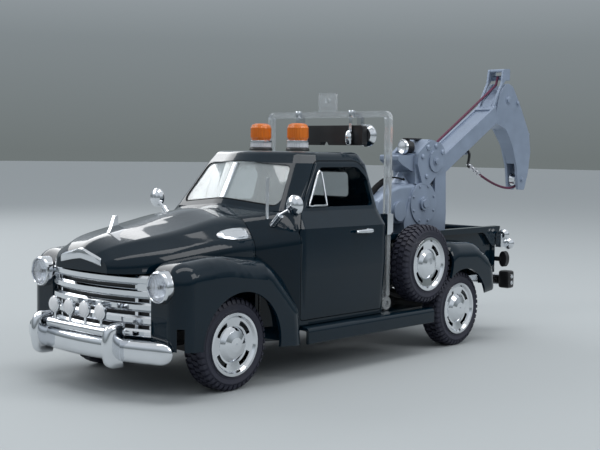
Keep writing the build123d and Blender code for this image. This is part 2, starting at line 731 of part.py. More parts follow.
def rear_fender_form(inset):
    low_y = BED_OUT_Y + SEAT_GAP + inset
    high_y = FENDER_OUT_Y - inset
    form = along_y(table_face(REAR_FENDER, inset), low_y, high_y)
    edge = [e for e in form.edges() if abs(e.center().Y - high_y) < 0.01 and e.center().Z > 25 + inset]
    return fillet(edge, FENDER_ROUND - inset)


def make_rear_fender(notched):
    """Left rear fender; notched leaves room for the spare wheel."""
    shell = rear_fender_form(0.0)
    hollow = rear_fender_form(FENDER_SHEET)
    shell = shell - hollow
    shell = shell - rod_y(REAR_ARCH_RADIUS, 20, 60, 0, TYRE_RADIUS)
    inner_low = block((-60, 60), (20, BED_OUT_Y + 3), (0, BED_FLOOR_LOW))
    shell = shell - inner_low
    shell = shell - block((-60, 60), (20, FENDER_OUT_Y - FENDER_SHEET), (0, 30))
    if notched:
        shell = shell - rod_y(SPARE_NOTCH, 20, 60, SPARE_X, SPARE_Z)
    return shell.solids().sort_by(SortBy.VOLUME)[-1]


def make_running_board():
    """Left running board with a rolled outer edge."""
    points = [(BOARD_IN_Y, BOARD_HIGH - 1.6), (BOARD_IN_Y, BOARD_HIGH), (BOARD_OUT_Y, BOARD_HIGH),
              (BOARD_OUT_Y, BOARD_LOW), (BOARD_OUT_Y - 1.6, BOARD_LOW),
              (BOARD_OUT_Y - 1.6, BOARD_HIGH - 1.6)]
    return along_x(outline(points, [0, 0, 2.2, 0.5, 0.5, 0.8]), BOARD_REAR_X + 1, FENDER_REAR_X - SEAT_GAP)


# Nose

def arc_radius(half_width, sagitta):
    return (half_width ** 2 + sagitta ** 2) / (2 * sagitta)


def bowed_strip(profile, front_x, half_width, radius):
    """Turn a (depth from front, Z) profile about a far upright axis into a bowed bar."""
    sweep_angle = 2 * math.degrees(math.asin(half_width / radius))
    moved = Pos(radius, 0) * profile
    solid = revolve(Plane.XZ * moved, Axis.Z, revolution_arc=sweep_angle)
    return Pos(front_x - radius, 0, 0) * Rot(0, 0, -sweep_angle / 2) * solid


def make_grille():
    """Five bowed bars with rounded faces, tied by upright strips at their backs."""
    bow = arc_radius(GRILLE_HALF_WIDTH, GRILLE_CENTRE_X - GRILLE_END_X)
    pitch = (GRILLE_HIGH - GRILLE_LOW - GRILLE_BAR_HEIGHT) / (GRILLE_BARS - 1)
    grille = None
    for index in range(GRILLE_BARS):
        middle = GRILLE_LOW + GRILLE_BAR_HEIGHT / 2 + index * pitch
        half = GRILLE_BAR_HEIGHT / 2
        points = [(0, middle - half * 0.5), (0, middle + half * 0.5), (-0.9, middle + half),
                  (-GRILLE_BAR_DEPTH, middle + half), (-GRILLE_BAR_DEPTH, middle - half),
                  (-0.9, middle - half)]
        bar = bowed_strip(make_face(Polyline(*points, close=True)),
                          GRILLE_CENTRE_X, GRILLE_HALF_WIDTH, bow)
        grille = bar if grille is None else grille + bar
    tie = [(-1.3, GRILLE_LOW + 0.6), (-1.3, GRILLE_HIGH - 0.6), (0.4 - GRILLE_BAR_DEPTH, GRILLE_HIGH - 0.6),
           (0.4 - GRILLE_BAR_DEPTH, GRILLE_LOW + 0.6)]
    ring = bowed_strip(make_face(Polyline(*tie, close=True)), GRILLE_CENTRE_X, GRILLE_HALF_WIDTH, bow)
    for low, high in ((-32.8, -31.2), (-26.0, -24.6), (24.6, 26.0), (31.2, 32.8)):
        grille = grille + (ring & block((180, 220), (low, high), (0, 60)))
    cap = [(-0.3, 41.4), (-0.3, GRILLE_HIGH - 0.9), (0.2 - GRILLE_BAR_DEPTH, GRILLE_HIGH - 0.9),
           (0.2 - GRILLE_BAR_DEPTH, 41.4)]
    caps = bowed_strip(make_face(Polyline(*cap, close=True)), GRILLE_CENTRE_X, GRILLE_HALF_WIDTH, bow)
    for low, high in ((-32.4, -26.6), (26.6, 32.4)):
        grille = grille + (caps & block((180, 220), (low, high), (0, 60)))
    return grille


def make_radiator_panel():
    """Dark backing behind the grille, resting on the chassis rails."""
    bow = arc_radius(GRILLE_HALF_WIDTH, GRILLE_CENTRE_X - GRILLE_END_X)
    back = [(-GRILLE_BAR_DEPTH - SEAT_GAP, RAIL_HIGH + SEAT_GAP),
            (-GRILLE_BAR_DEPTH - SEAT_GAP, GRILLE_HIGH), (-GRILLE_BAR_DEPTH - 1.6, GRILLE_HIGH),
            (-GRILLE_BAR_DEPTH - 1.6, RAIL_HIGH + SEAT_GAP)]
    return bowed_strip(make_face(Polyline(*back, close=True)), GRILLE_CENTRE_X,
                       FENDER_IN_Y - 0.6, bow)


def make_front_apron():
    """Body-coloured apron between the grille and the bumper."""
    bow = arc_radius(GRILLE_HALF_WIDTH, GRILLE_CENTRE_X - GRILLE_END_X)
    low = RAIL_HIGH - 0.8 + SEAT_GAP
    strip = [(0, low), (0, GRILLE_LOW - SEAT_GAP), (-1.6, GRILLE_LOW - SEAT_GAP), (-1.6, low)]
    return bowed_strip(make_face(Polyline(*strip, close=True)), GRILLE_CENTRE_X, FENDER_IN_Y - 0.6, bow)


def make_headlamps():
    """Chrome bezels and domed lenses, each set into a fender's nose."""
    front = FENDER_FRONT_X + 1.6
    bezel_profile = [
        (LENS_RADIUS, -4.0), (BEZEL_RADIUS, -4.0), (BEZEL_RADIUS, 0.2), (BEZEL_RADIUS - 0.3, 0.9),
        (LENS_RADIUS + 0.2, 1.2), (LENS_RADIUS, 0.9),
    ]
    lens_profile = [
        (0, -3.4), (LENS_RADIUS - 0.05, -3.4), (LENS_RADIUS - 0.05, 0.3), (LENS_RADIUS * 0.8, 1.0),
        (LENS_RADIUS * 0.45, 1.5), (0, 1.7),
    ]
    bezel = turned_x(bezel_profile, front, LAMP_Y, LAMP_Z)
    lens = turned_x(lens_profile, front, LAMP_Y, LAMP_Z)
    return both_sides(bezel), both_sides(lens)


def make_front_bumper():
    """Bowed bar with rounded ends and two upright guards."""
    middle = (BUMPER_LOW + BUMPER_HIGH) / 2
    half = (BUMPER_HIGH - BUMPER_LOW) / 2
    points = [(0, middle - half * 0.4), (0, middle + half * 0.4), (-1.6, middle + half),
              (-BUMPER_DEPTH, middle + half), (-BUMPER_DEPTH, middle - half), (-1.6, middle - half)]
    bow = arc_radius(BUMPER_HALF_WIDTH, BUMPER_CENTRE_X - BUMPER_END_X)
    bar = bowed_strip(outline(points, [2.0, 2.0, 1.0, 0.3, 0.3, 1.0]),
                      BUMPER_CENTRE_X, BUMPER_HALF_WIDTH, bow)
    front_view = Pos(0, middle) * RectangleRounded(2 * BUMPER_HALF_WIDTH, 2 * half, half - 0.3)
    bar = bar & along_x(front_view, 190, 225)
    bar_front = BUMPER_CENTRE_X - bow + math.sqrt(bow ** 2 - GUARD_Y ** 2)
    back = bar_front - BUMPER_DEPTH + 0.5
    guard_points = [(back, GUARD_LOW), (GUARD_FRONT_X - 1.0, GUARD_LOW + 0.6), (GUARD_FRONT_X, middle),
                    (GUARD_FRONT_X - 1.0, GUARD_HIGH - 0.6), (back, GUARD_HIGH)]
    guard = along_y(outline(guard_points, [1, 2, 12, 2, 1]), GUARD_Y - GUARD_WIDTH / 2,
                    GUARD_Y + GUARD_WIDTH / 2)
    upright = [e for e in guard.edges() if e.center().X > GUARD_FRONT_X - 2.2
               and abs(abs(e.center().Y - GUARD_Y) - GUARD_WIDTH / 2) < 0.01]
    guard = fillet(upright, 1.2)
    bracket = block((RAIL_FRONT_X - 6, BUMPER_CENTRE_X - 2), (RAIL_Y + RAIL_WIDTH / 2 + SEAT_GAP,
                    RAIL_Y + RAIL_WIDTH / 2 + 2.2), (RAIL_HIGH - RAIL_DEPTH + 0.4, RAIL_HIGH - 0.8))
    return fused(bar, *both_sides(guard), *both_sides(bracket))


def make_auxiliary_lamps():
    """Four round lamps on stems along a crossbar that rests on the bumper."""
    x = BUMPER_CENTRE_X - 2.4
    bar_z = BUMPER_HIGH + SEAT_GAP + SPOT_BAR_RADIUS
    assembly = rod_y(SPOT_BAR_RADIUS, -SPOT_BAR_HALF, SPOT_BAR_HALF, x, bar_z)
    profile = [(0, -1.6), (SPOT_RADIUS * 0.6, -1.4), (SPOT_RADIUS, 0), (SPOT_RADIUS, 0.8),
               (SPOT_RADIUS * 0.7, 1.4), (0, 1.6)]
    for index in range(4):
        y = (index - 1.5) * SPOT_SPACING
        assembly = fused(assembly, turned_x(profile, x, y, SPOT_Z),
                         rod_z(0.6, bar_z, SPOT_Z - 1, x, y))
    return assembly


# Bed

def make_bed():
    """Open cargo box: floor, front wall, two side walls and their flared top rails."""
    length = (BED_REAR_X, BED_FRONT_X)
    box = block(length, (-BED_OUT_Y, BED_OUT_Y), (BED_FLOOR_LOW, BED_FLOOR_HIGH))
    box = box + block((BED_FRONT_X - BED_WALL, BED_FRONT_X), (-BED_OUT_Y, BED_OUT_Y),
                      (BED_FLOOR_LOW, BED_RAIL_HIGH))
    side = block(length, (BED_OUT_Y - BED_WALL, BED_OUT_Y), (BED_FLOOR_LOW, BED_RAIL_HIGH - 0.5))
    rail_view = outline(
        [(BED_FRONT_X, BED_RAIL_LOW), (BED_FRONT_X, BED_RAIL_HIGH), (BED_REAR_X - 2.4, BED_RAIL_HIGH + 0.3),
         (BED_REAR_X - 2.4, BED_RAIL_HIGH - 0.7), (BED_REAR_X + 1.5, RAIL_FLARE_Z),
         (BED_REAR_X + 6, RAIL_FLARE_Z), (BED_REAR_X + 14, BED_RAIL_LOW)],
        [0.5, 0.5, 0.3, 0.3, 2, 3, 6])
    rail = along_y(rail_view, BED_OUT_Y - BED_WALL, BED_RAIL_Y)
    rib = block((BED_REAR_X, BED_REAR_X + 3), (BED_OUT_Y - 2.4, BED_OUT_Y + 0.8),
                (BED_FLOOR_LOW, BED_RAIL_HIGH - 1))
    return fused(box, *both_sides(side), *both_sides(rail), *both_sides(rib), make_spare_carrier())


def make_tailgate():
    """Tailgate hinged at the floor's rear edge, with a rolled top and a raised panel."""
    half = BED_OUT_Y - 2.4 - PANEL_GAP
    low = BED_FLOOR_HIGH + PANEL_GAP
    x_out = BED_REAR_X
    plate = block((x_out, x_out + TAILGATE_SHEET), (-half, half), (low, BED_RAIL_HIGH - 2.0))
    roll = rod_y(1.6, -half, half, x_out + 1.1, BED_RAIL_HIGH - 1.9)
    panel = block((x_out - 0.5, x_out + 0.2), (-half + 6, half - 6), (low + 5, BED_RAIL_HIGH - 8))
    return fused(plate, roll, panel)


# Spare wheel carrier, hoop, beacons and small fittings

def make_spare_carrier():
    """Plate on the bed's side with the spindle that carries the spare wheel."""
    plate = rod_y(7.0, BED_OUT_Y - 0.5, BED_OUT_Y + 1.2, SPARE_X, SPARE_Z)
    spindle = rod_y(AXLE_RADIUS, BED_OUT_Y, SPARE_Y + HUB_FACE_OUT - 0.1, SPARE_X, SPARE_Z)
    return plate + spindle


def make_hoop():
    """Square clear rod bent into a hoop, with an eye at each foot and a bored tab on top."""
    half = HOOP_ROD / 2
    foot = BOARD_HIGH + SEAT_GAP
    knee = foot + 7.0
    outer = outline(
        [(HOOP_Y + half, knee), (HOOP_Y + half, HOOP_HIGH), (-HOOP_Y - half, HOOP_HIGH),
         (-HOOP_Y - half, knee)], [0, HOOP_ROUND, HOOP_ROUND, 0])
    inner = outline(
        [(HOOP_Y - half, knee - 1), (HOOP_Y - half, HOOP_HIGH - HOOP_ROD),
         (half - HOOP_Y, HOOP_HIGH - HOOP_ROD), (half - HOOP_Y, knee - 1)],
        [0, HOOP_ROUND - HOOP_ROD, HOOP_ROUND - HOOP_ROD, 0])
    hoop = along_x(outer - inner, HOOP_X - half, HOOP_X + half)
    for side in (1, -1):
        eye_z = foot + HOOP_EYE_RADIUS
        eye = rod_y(HOOP_EYE_RADIUS, side * HOOP_Y - 0.9, side * HOOP_Y + 0.9, HOOP_X, eye_z)
        neck = block((HOOP_X - 1.2, HOOP_X + 1.2), (side * HOOP_Y - 0.9, side * HOOP_Y + 0.9),
                     (eye_z, knee + 1))
        hole = rod_y(HOOP_EYE_HOLE, side * HOOP_Y - 2, side * HOOP_Y + 2, HOOP_X, eye_z)
        hoop = (hoop + eye + neck) - hole
    tab = block((HOOP_X - TAB_THICKNESS / 2, HOOP_X + TAB_THICKNESS / 2),
                (-TAB_HALF_WIDTH, TAB_HALF_WIDTH), (HOOP_HIGH - 1, TAB_HIGH))
    hole = rod_x(TAB_HOLE, HOOP_X - 3, HOOP_X + 3, 0, (HOOP_HIGH + TAB_HIGH) / 2 + 1)
    return (hoop + tab) - hole


def make_hoop_fittings():
    """Clamps that tie the posts to the bed rails, and the two hangers of the bar."""
    pieces = []
    half = HOOP_ROD / 2
    for side in (1, -1):
        ring = block((HOOP_X - half - 0.8, HOOP_X + half + 0.8),
                     (side * HOOP_Y - half - 0.8, side * HOOP_Y + half + 0.8), (SLEEVE_LOW, SLEEVE_HIGH))
        bore = block((HOOP_X - half - 0.05, HOOP_X + half + 0.05),
                     (side * HOOP_Y - half - 0.05, side * HOOP_Y + half + 0.05), (0, 100))
        pieces.append(ring - bore)
    for side in (1, -1):
        y = side * HANGER_Y
        strap = block((HOOP_X - half - 1.4, HOOP_X - half - 0.2), (y - 2, y + 2),
                      (BAR_LOW + 2.5, HOOP_HIGH - 0.6))
        screw = rod_x(0.9, HOOP_X - half - 2.4, HOOP_X - half - 1.2, y, BAR_LOW + 5)
        bolt = rod_x(0.9, HOOP_X - half - 2.4, HOOP_X - half - 1.2, y, HOOP_HIGH - 2)
        pieces.append(fused(strap, screw, bolt))
    return pieces


def make_light_bar():
    """Black bar hung below the hoop, with a small notch in its lower edge."""
    low_x = HOOP_X - HOOP_ROD / 2
    face = outline(
        [(BAR_HALF, BAR_LOW), (BAR_HALF, BAR_HIGH), (-BAR_HALF, BAR_HIGH), (-BAR_HALF, BAR_LOW),
         (-3, BAR_LOW), (-2, BAR_LOW + 1.6), (2, BAR_LOW + 1.6), (3, BAR_LOW)],
        [1.2, 1.2, 1.2, 1.2, 0, 0, 0, 0])
    return along_x(face, low_x, low_x + BAR_THICKNESS)


def make_bar_lamps():
    """Two round lamps behind the ends of the bar, facing the rear."""
    front = HOOP_X - HOOP_ROD / 2 - SEAT_GAP
    profile = [(0, 0), (BAR_LAMP_RADIUS * 0.7, 0), (BAR_LAMP_RADIUS, -1.6), (BAR_LAMP_RADIUS, -2.8),
               (BAR_LAMP_RADIUS - 0.5, -3.2), (0, -3.9)]
    lamp = turned_x(profile, front, BAR_HALF - 2.0, (BAR_LOW + BAR_HIGH) / 2)
    return both_sides(lamp)


def make_beacons():
    """Two round beacons: black foot and pale base, then the amber dome."""
    foot = CAB_TOP + SEAT_GAP
    base_profile = [(0, 0), (BEACON_RADIUS - 0.4, 0), (BEACON_RADIUS - 0.4, 1.6), (BEACON_RADIUS, 1.8),
                    (BEACON_RADIUS, 4.4), (BEACON_RADIUS - 0.6, 5.2), (0, 5.2)]
    high = BEACON_HIGH - foot
    dome_profile = [(0, 5.25), (BEACON_RADIUS - 0.7, 5.25), (BEACON_RADIUS, 6.4), (BEACON_RADIUS, high - 2.2),
                    (BEACON_RADIUS - 0.7, high - 0.7), (BEACON_RADIUS - 2.2, high), (0, high)]
    bases, domes = [], []
    for side in (1, -1):
        bases.append(turned_z(base_profile, BEACON_X, side * BEACON_Y, foot))
        domes.append(turned_z(dome_profile, BEACON_X, side * BEACON_Y, foot))
    return bases, domes


MIRROR_X = 128.4
MIRROR_Y = 46.0
MIRROR_Z = 77.2
MIRROR_RADIUS = 4.6
MIRROR_FOOT_Y = 36.6
MIRROR_FOOT_Z = 71.6
COWL_ROD_X = 130.6
COWL_ROD_Y = 31.6


def make_mirrors():
    """Round mirror heads on short arms, and the short upright rod on the left of the cowl."""
    profile = [(0, -0.6), (MIRROR_RADIUS, -0.6), (MIRROR_RADIUS, 0.4), (MIRROR_RADIUS * 0.8, 1.5),
               (MIRROR_RADIUS * 0.4, 2.3), (0, 2.6)]
    head = turned_x(profile, MIRROR_X, MIRROR_Y, MIRROR_Z)
    path = Polyline((MIRROR_X + 0.8, MIRROR_Y, MIRROR_Z - 1.0), (MIRROR_X + 1.6, MIRROR_FOOT_Y, MIRROR_FOOT_Z))
    arm = sweep(Plane(origin=path @ 0, z_dir=path % 0) * Circle(0.8), path)
    foot = Pos(MIRROR_X + 1.6, MIRROR_FOOT_Y, MIRROR_FOOT_Z - 1.5) * Rot(-45, 0, 0) * Cylinder(1.6, 7)
    mirror_set = fused(head, arm, foot) - cowl_form(-SEAT_GAP)
    mirror_set = mirror_set.solids().sort_by(SortBy.VOLUME)[-1]
    rod = rod_z(0.7, 68.0, 89.0, COWL_ROD_X, COWL_ROD_Y) - cowl_form(-SEAT_GAP)
    rod = rod.solids().sort_by(Axis.Z)[-1]
    return both_sides(mirror_set) + [rod]


def make_rear_bumper():
    """Short rear bumper bar with its brackets and the two end blocks."""
    bar = block((BED_REAR_X - 9.5, BED_REAR_X - 6.5), (-40, 40), (26.5, 32.5))
    bar = fillet(bar.edges().filter_by(Axis.Y), 1.0)
    bracket = block((BED_REAR_X - 7, RAIL_REAR_X + 5), (RAIL_Y + RAIL_WIDTH / 2 + SEAT_GAP,
                    RAIL_Y + RAIL_WIDTH / 2 + 2.2), (28.0, 31.8))
    block_end = block((BED_REAR_X - 10.5, BED_REAR_X - 5.5), (36, 42), (25.5, 34.5))
    block_end = fillet(block_end.edges().filter_by(Axis.X), 1.5)
    return fused(bar, *both_sides(bracket), *both_sides(block_end))


HITCH_HOLE = 1.6


def make_tow_hitch():
    """Drawbar below the rear bumper with an upright hole for a pin."""
    bar = block((BED_REAR_X - 16, RAIL_REAR_X + 12), (-3.5, 3.5), (24.6, 26.2))
    bar = fillet(bar.edges().filter_by(Axis.Z), 2.0)
    post = block((RAIL_REAR_X + 6, RAIL_REAR_X + 10), (-3, 3), (26.0, 29.4))
    cross = block((RAIL_REAR_X + 6, RAIL_REAR_X + 10), (-14.7, 14.7), (27.6, 29.4))
    return fused(bar, post, cross) - rod_z(HITCH_HOLE, 20, 30, BED_REAR_X - 12, 0)


REAR_LAMPS = [
    # X, Y, Z and radius of the round lamps behind the bed's left corner
    (-51.0, 41.2, 56.0, 3.1), (-56.4, 41.2, 50.6, 3.1),
]


def make_rear_lamps():
    """Round lamps on a bracket beside the bed's rear corner."""
    y = REAR_LAMPS[0][1]
    bracket = block((-57.5, BED_REAR_X + 2.2), (BED_RAIL_Y + SEAT_GAP, y), (49.0, 56.5))
    cluster = bracket
    for x, lamp_y, z, radius in REAR_LAMPS:
        profile = [(0, 0.6), (radius * 0.6, 0.4), (radius, -0.8), (radius, -2.4), (radius * 0.7, -3.0), (0, -3.3)]
        cluster = cluster + turned_x(profile, x, lamp_y, z)
    return both_sides(cluster)


def make_tail_lamps():
    """Dark oval lamps behind the rear fenders."""
    oval = along_x(Pos(40.2, 42.0) * Ellipse(2.4, 4.4), -57.0, -53.6)
    arm = block((-54.4, BED_REAR_X - SEAT_GAP), (34.0, 39.4), (40.8, 43.2))
    return both_sides(oval + arm)


# Crane

def crane_point(distance, rise):
    """A place beside the boom: distance along it from the luffing axis, and rise above that line."""
    angle = math.radians(BOOM_ANGLE)
    x = LUFF_X - distance * math.cos(angle) + rise * math.sin(angle)
    z = LUFF_Z + distance * math.sin(angle) + rise * math.cos(angle)
    return x, z


def boom_distance(x, rise):
    """Distance along the boom at which a given rise reaches the upright plane X."""
    angle = math.radians(BOOM_ANGLE)
    return (LUFF_X - x + rise * math.sin(angle)) / math.cos(angle)


def make_pedestal():
    """Round pedestal that carries the turret on the bed's floor, with its slewing pin."""
    low = BED_FLOOR_HIGH + SEAT_GAP
    high = TURRET_LOW - SEAT_GAP
    disc = rod_z(15.0, low, high, CRANE_X, 0)
    pin = rod_z(3.0, high - 0.5, TURRET_LOW + 6, CRANE_X, 0)
    return disc + pin


WINCH_POINTS = [
    # X, Z, corner radius of the winch's side outline
    (-16.0, 84.4, 0), (1.0, 83.4, 8), (13.0, 80.0, 8), (20.6, 75.6, 3), (22.4, 70.0, 3), (20.4, 63.4, 3),
    (-1.0, 62.0, 0), (-16.0, 62.0, 0),
]


def make_turret():
    """Cast turret: drum housing, motor, winch cylinder and the fork that holds the boom."""
    half = CRANE_HALF
    slot_half = BOOM_HALF + 0.3
    base = along_y(outline(
        [(-40.5, TURRET_LOW), (-42.4, 66.0), (-41.2, 95.0), (-31.0, 95.0), (-31.0, 78.0), (-8.0, 78.0),
         (-2.0, 62.0), (-7.0, TURRET_LOW)], [3, 20, 0.5, 0.5, 0, 4, 6, 3]), -half + 0.7, half - 0.7)
    winch = along_y(face_from(WINCH_POINTS), -7.6, 7.6)
    winch = fillet(winch.faces().sort_by(Axis.Z)[-1].edges().filter_by(Plane.XZ), 2.2)
    drum = rod_y(DRUM_RADIUS, -half, half, DRUM_X, DRUM_Z)
    boss = rod_y(3.9, -half - 1.2, half + 1.2, DRUM_X, DRUM_Z)
    cap = rod_y(2.4, -half - 1.9, half + 1.9, DRUM_X, DRUM_Z)
    motor = rod_y(5.4, -half, half, 2.0, 69.2)
    valve = turned_z([(0, 82.0), (5.2, 82.0), (4.8, 84.6), (1.6, 89.4), (1.2, 90.6), (0, 90.6)], -9.0, 0, 0)
    turret = fused(base, winch, drum, boss, cap, motor, valve)
    cheek_face = outline(
        [(-41.2, 97.0), (-37.0, 107.0), (-24.0, 108.6), (-13.5, 101.6), (-12.8, 95.0), (-17.5, 84.0),
         (-24.0, 83.0)], [5, 8, 8, 2, 2, 1, 1])
    for low, high in ((slot_half, slot_half + CHEEK), (-slot_half - CHEEK, -slot_half)):
        turret = turret + along_y(cheek_face, low, high)
    hub = rod_y(6.2, -half - 0.9, half + 0.9, LUFF_X, LUFF_Z)
    shelf = along_y(outline(
        [(-15.0, 100.0), (1.4, 100.0), (1.4, 97.0), (-3.0, 94.4), (-10.0, 91.6), (-15.0, 90.0)],
        [0, 1, 1, 1, 2, 0]), -6.4, 6.4)
    turret = fused(turret, hub, shelf)
    web_x = LUFF_X + HEAD_RADIUS + 0.5
    web = block((web_x, web_x + 5.0), (-slot_half - 0.5, slot_half + 0.5), (84.0, 101.0))
    shroud = outline(
        [(web_x, 100.6), (web_x + 2.5, 101.6), (LUFF_X + 4.5, LUFF_Z + HEAD_RADIUS + 1.2),
         (LUFF_X - 2.5, LUFF_Z + HEAD_RADIUS + 0.4), (LUFF_X + 3.5, LUFF_Z + HEAD_RADIUS - 0.8)],
        [0, 0.5, 3, 0, 0])
    turret = fused(turret, web, along_y(shroud, -slot_half - 0.5, slot_half + 0.5))
    throat = rod_y(HEAD_RADIUS + 0.35, -slot_half, slot_half, LUFF_X, LUFF_Z)
    boom_low = BOOM_TOP_RISE - BOOM_DEPTH
    rear_throat = rod_y(math.hypot(BOOM_START, boom_low) + 0.4, -slot_half, slot_half, LUFF_X, LUFF_Z)
    rear_throat = rear_throat & block((-80, LUFF_X), (-20, 20), (0, 200))
    notch = block((-60, -36), (-slot_half, slot_half), (86.4, 130))
    turret = turret - throat - rear_throat - notch
    turret = turret - rod_z(3.0 + BORE_GAP, TURRET_LOW - 1, TURRET_LOW + 6.3, CRANE_X, 0)
    pin = rod_y(KNEE_PIN, -slot_half - CHEEK, slot_half + CHEEK, LUFF_X, LUFF_Z)
    return turret + pin


def make_turret_fittings():
    """Lamp on the head's shelf, on a foot of its own."""
    profile = [(0, -3.6), (2.4, -3.4), (3.8, -0.8), (4.2, 1.0), (4.0, 1.8), (2.4, 2.4), (0, 2.6)]
    lamp = turned_x(profile, -7.6, 0, 105.6)
    foot = block((-9.8, -6.8), (-1.5, 1.5), (100.0 + SEAT_GAP, 103.0))
    return [lamp + foot]


def make_turret_hose():
    """Thick black hose that rises from the winch and bends back."""
    path = FilletPolyline((16.5, 0, 77.6), (11.5, 0, 82.6), (4.0, 0, 86.4), radius=5.0)
    hose = sweep(Plane(origin=path @ 0, z_dir=path % 0) * Circle(1.5), path)
    return hose - along_y(face_from(WINCH_POINTS, SEAT_GAP), -7.6, 7.6)


def make_boom():
    """Box boom with a round root, a shallow top channel, a tongue and a tip frame."""
    top = BOOM_TOP_RISE
    low = top - BOOM_DEPTH
    root = rod_y(HEAD_RADIUS, -BOOM_HALF, BOOM_HALF, LUFF_X, LUFF_Z)
    arm_points = [
        crane_point(BOOM_START, low), crane_point(boom_distance(BOOM_END_X, low), low),
        crane_point(boom_distance(BOOM_END_X, top), top), crane_point(BOOM_START, top),
    ]
    arm = along_y(outline(arm_points), -BOOM_HALF, BOOM_HALF)
    channel_points = [
        crane_point(13.5, top - 1.0), crane_point(70, top - 1.0), crane_point(70, top + 3),
        crane_point(13.5, top + 3),
    ]
    channel = along_y(outline(channel_points), -BOOM_HALF + 1.4, BOOM_HALF - 1.4)
    tongue_points = [
        (BOOM_END_X + 2, 121.5), (-106.0, 128.0), (-114.0, 129.6), (-117.4, 134.0), (-115.5, 140.0),
        (-108.5, 141.6), (-98.0, 134.0), (BOOM_END_X + 2, 128.6),
    ]
    tongue = along_y(outline(tongue_points, [0, 4, 3, 3, 3, 3, 1, 0]), -TONGUE_HALF, TONGUE_HALF)
    frame_face = outline(
        [(-93.5, 128.2), (-98.0, 136.4), (-104.0, 145.4), (-105.6, 154.0), (-112.8, 154.4),
         (-112.6, 147.2), (-107.6, 147.0), (-102.2, 141.2), (-97.2, 131.6), (-96.0, 127.6)],
        [0, 1, 2, 1.2, 1.2, 1, 1, 2, 0.5, 0])
    sides = along_y(frame_face, -FOREARM_HALF, FOREARM_HALF)
    window = along_y(frame_face, -FOREARM_HALF + 1.4, FOREARM_HALF - 1.4)
    top_face = outline([(-105.9, 152.2), (-105.6, 154.0), (-112.8, 154.4), (-112.7, 152.2)], [0, 1.2, 1.2, 0])
    cross = along_y(top_face, -FOREARM_HALF, FOREARM_HALF)
    roller = rod_y(1.5, -FOREARM_HALF + 0.5, FOREARM_HALF - 0.5, *TIP_ROLLER)
    lug_face = outline([crane_point(48.5, low + 0.5), crane_point(40.0, low + 0.5), (-72.6, 101.4),
                        (-73.8, 100.6), (-75.0, 101.4)], [0, 0, 1, 0.4, 1])
    lug = along_y(lug_face, -1.0, 1.0) - rod_y(0.9, -3, 3, -73.8, 103.2)
    boom = fused(root, arm - channel, tongue, sides - window, cross, roller, lug)
    boom = boom - rod_y(KNEE_PIN + BORE_GAP, -20, 20, KNEE_X, KNEE_Z)
    return boom - rod_y(KNEE_PIN + BORE_GAP, -20, 20, LUFF_X, LUFF_Z)


FOREARM_OUTLINE = [
    # X, Z, corner radius, round the outside of one side plate
    (-97.0, 120.8, 1.5), (-111.0, 117.2, 7), (-120.0, 107.0, 14), (-126.0, 93.6, 20), (-128.2, 79.2, 1.5),
    (-135.6, 78.8, 2), (-140.0, 90.0, 25), (-142.4, 104.0, 12), (-139.6, 114.6, 10), (-121.4, 138.0, 6),
    (-116.6, 143.8, 5), (-109.0, 146.0, 6), (-101.0, 138.0, 5), (-98.4, 128.0, 5),
]


def narrowing(half, low_half):
    """A crosswise form that narrows from the knee to the lower part of the forearm."""
    points = [(half, 160.0), (half, 130.0), (low_half, 108.0), (low_half, 70.0),
              (-low_half, 70.0), (-low_half, 108.0), (-half, 130.0), (-half, 160.0)]
    return along_x(outline(points), -160.0, -80.0)


def make_forearm():
    """Curved forearm: two side plates, front and back webs and the pins that tie them."""
    side = face_from(FOREARM_OUTLINE)
    outer = along_y(side, -FOREARM_HALF, FOREARM_HALF) & narrowing(FOREARM_HALF, FOREARM_LOW_HALF)
    slot_half = FOREARM_HALF - FOREARM_CHEEK
    hollow = narrowing(slot_half, FOREARM_LOW_HALF - FOREARM_CHEEK)
    plates = outer - hollow
    back = outline([(-138.4, 90.0), (-140.0, 90.0), (-142.4, 104.0), (-139.6, 114.6), (-134.0, 122.0),
                    (-132.6, 121.0), (-138.0, 114.0), (-140.6, 104.0)], [0, 0, 10, 9, 0, 0, 9, 10])
    front = outline([(-99.5, 120.4), (-111.5, 116.9), (-120.4, 106.0), (-125.4, 95.6), (-127.0, 96.2),
                     (-122.0, 107.0), (-112.4, 118.6), (-100.2, 122.2)])
    webs = (along_y(back, -FOREARM_HALF, FOREARM_HALF) + along_y(front, -FOREARM_HALF, FOREARM_HALF)) & outer
    knee_pin = rod_y(KNEE_PIN, -FOREARM_HALF, FOREARM_HALF, KNEE_X, KNEE_Z)
    lower_pin = rod_y(SHEAVE_PIN, -FOREARM_LOW_HALF, FOREARM_LOW_HALF, SHEAVE_X, SHEAVE_Z)
    spacer = rod_y(1.7, -slot_half - 0.2, slot_half + 0.2, -122.6, 133.6)
    upper_lug = outline([(-122.0, 132.0), (-122.6, 135.6), (-126.4, 138.6), (-129.4, 137.8), (-128.2, 135.4),
                         (-125.6, 132.8)], [0, 1, 1.5, 0.5, 0, 0])
    lower_lug = outline([(-140.0, 104.0), (-143.8, 110.0), (-146.0, 115.2), (-143.2, 115.6), (-139.0, 112.6)],
                        [0, 4, 0.5, 0.5, 0])
    lugs = along_y(upper_lug, -1.5, 1.5) + along_y(lower_lug, -1.5, 1.5)
    return fused(plates, webs, knee_pin, lower_pin, spacer, lugs)


def make_forearm_sheave():
    """Grooved sheave in the forearm's lower end."""
    half = FOREARM_LOW_HALF - FOREARM_CHEEK - 0.3
    bore = SHEAVE_PIN + BORE_GAP
    profile = [(bore, -half), (SHEAVE_RADIUS, -half), (SHEAVE_RADIUS - 1.4, -0.6),
               (SHEAVE_RADIUS - 1.4, 0.6), (SHEAVE_RADIUS, half), (bore, half)]
    return turned_y(profile, SHEAVE_X, 0, SHEAVE_Z)


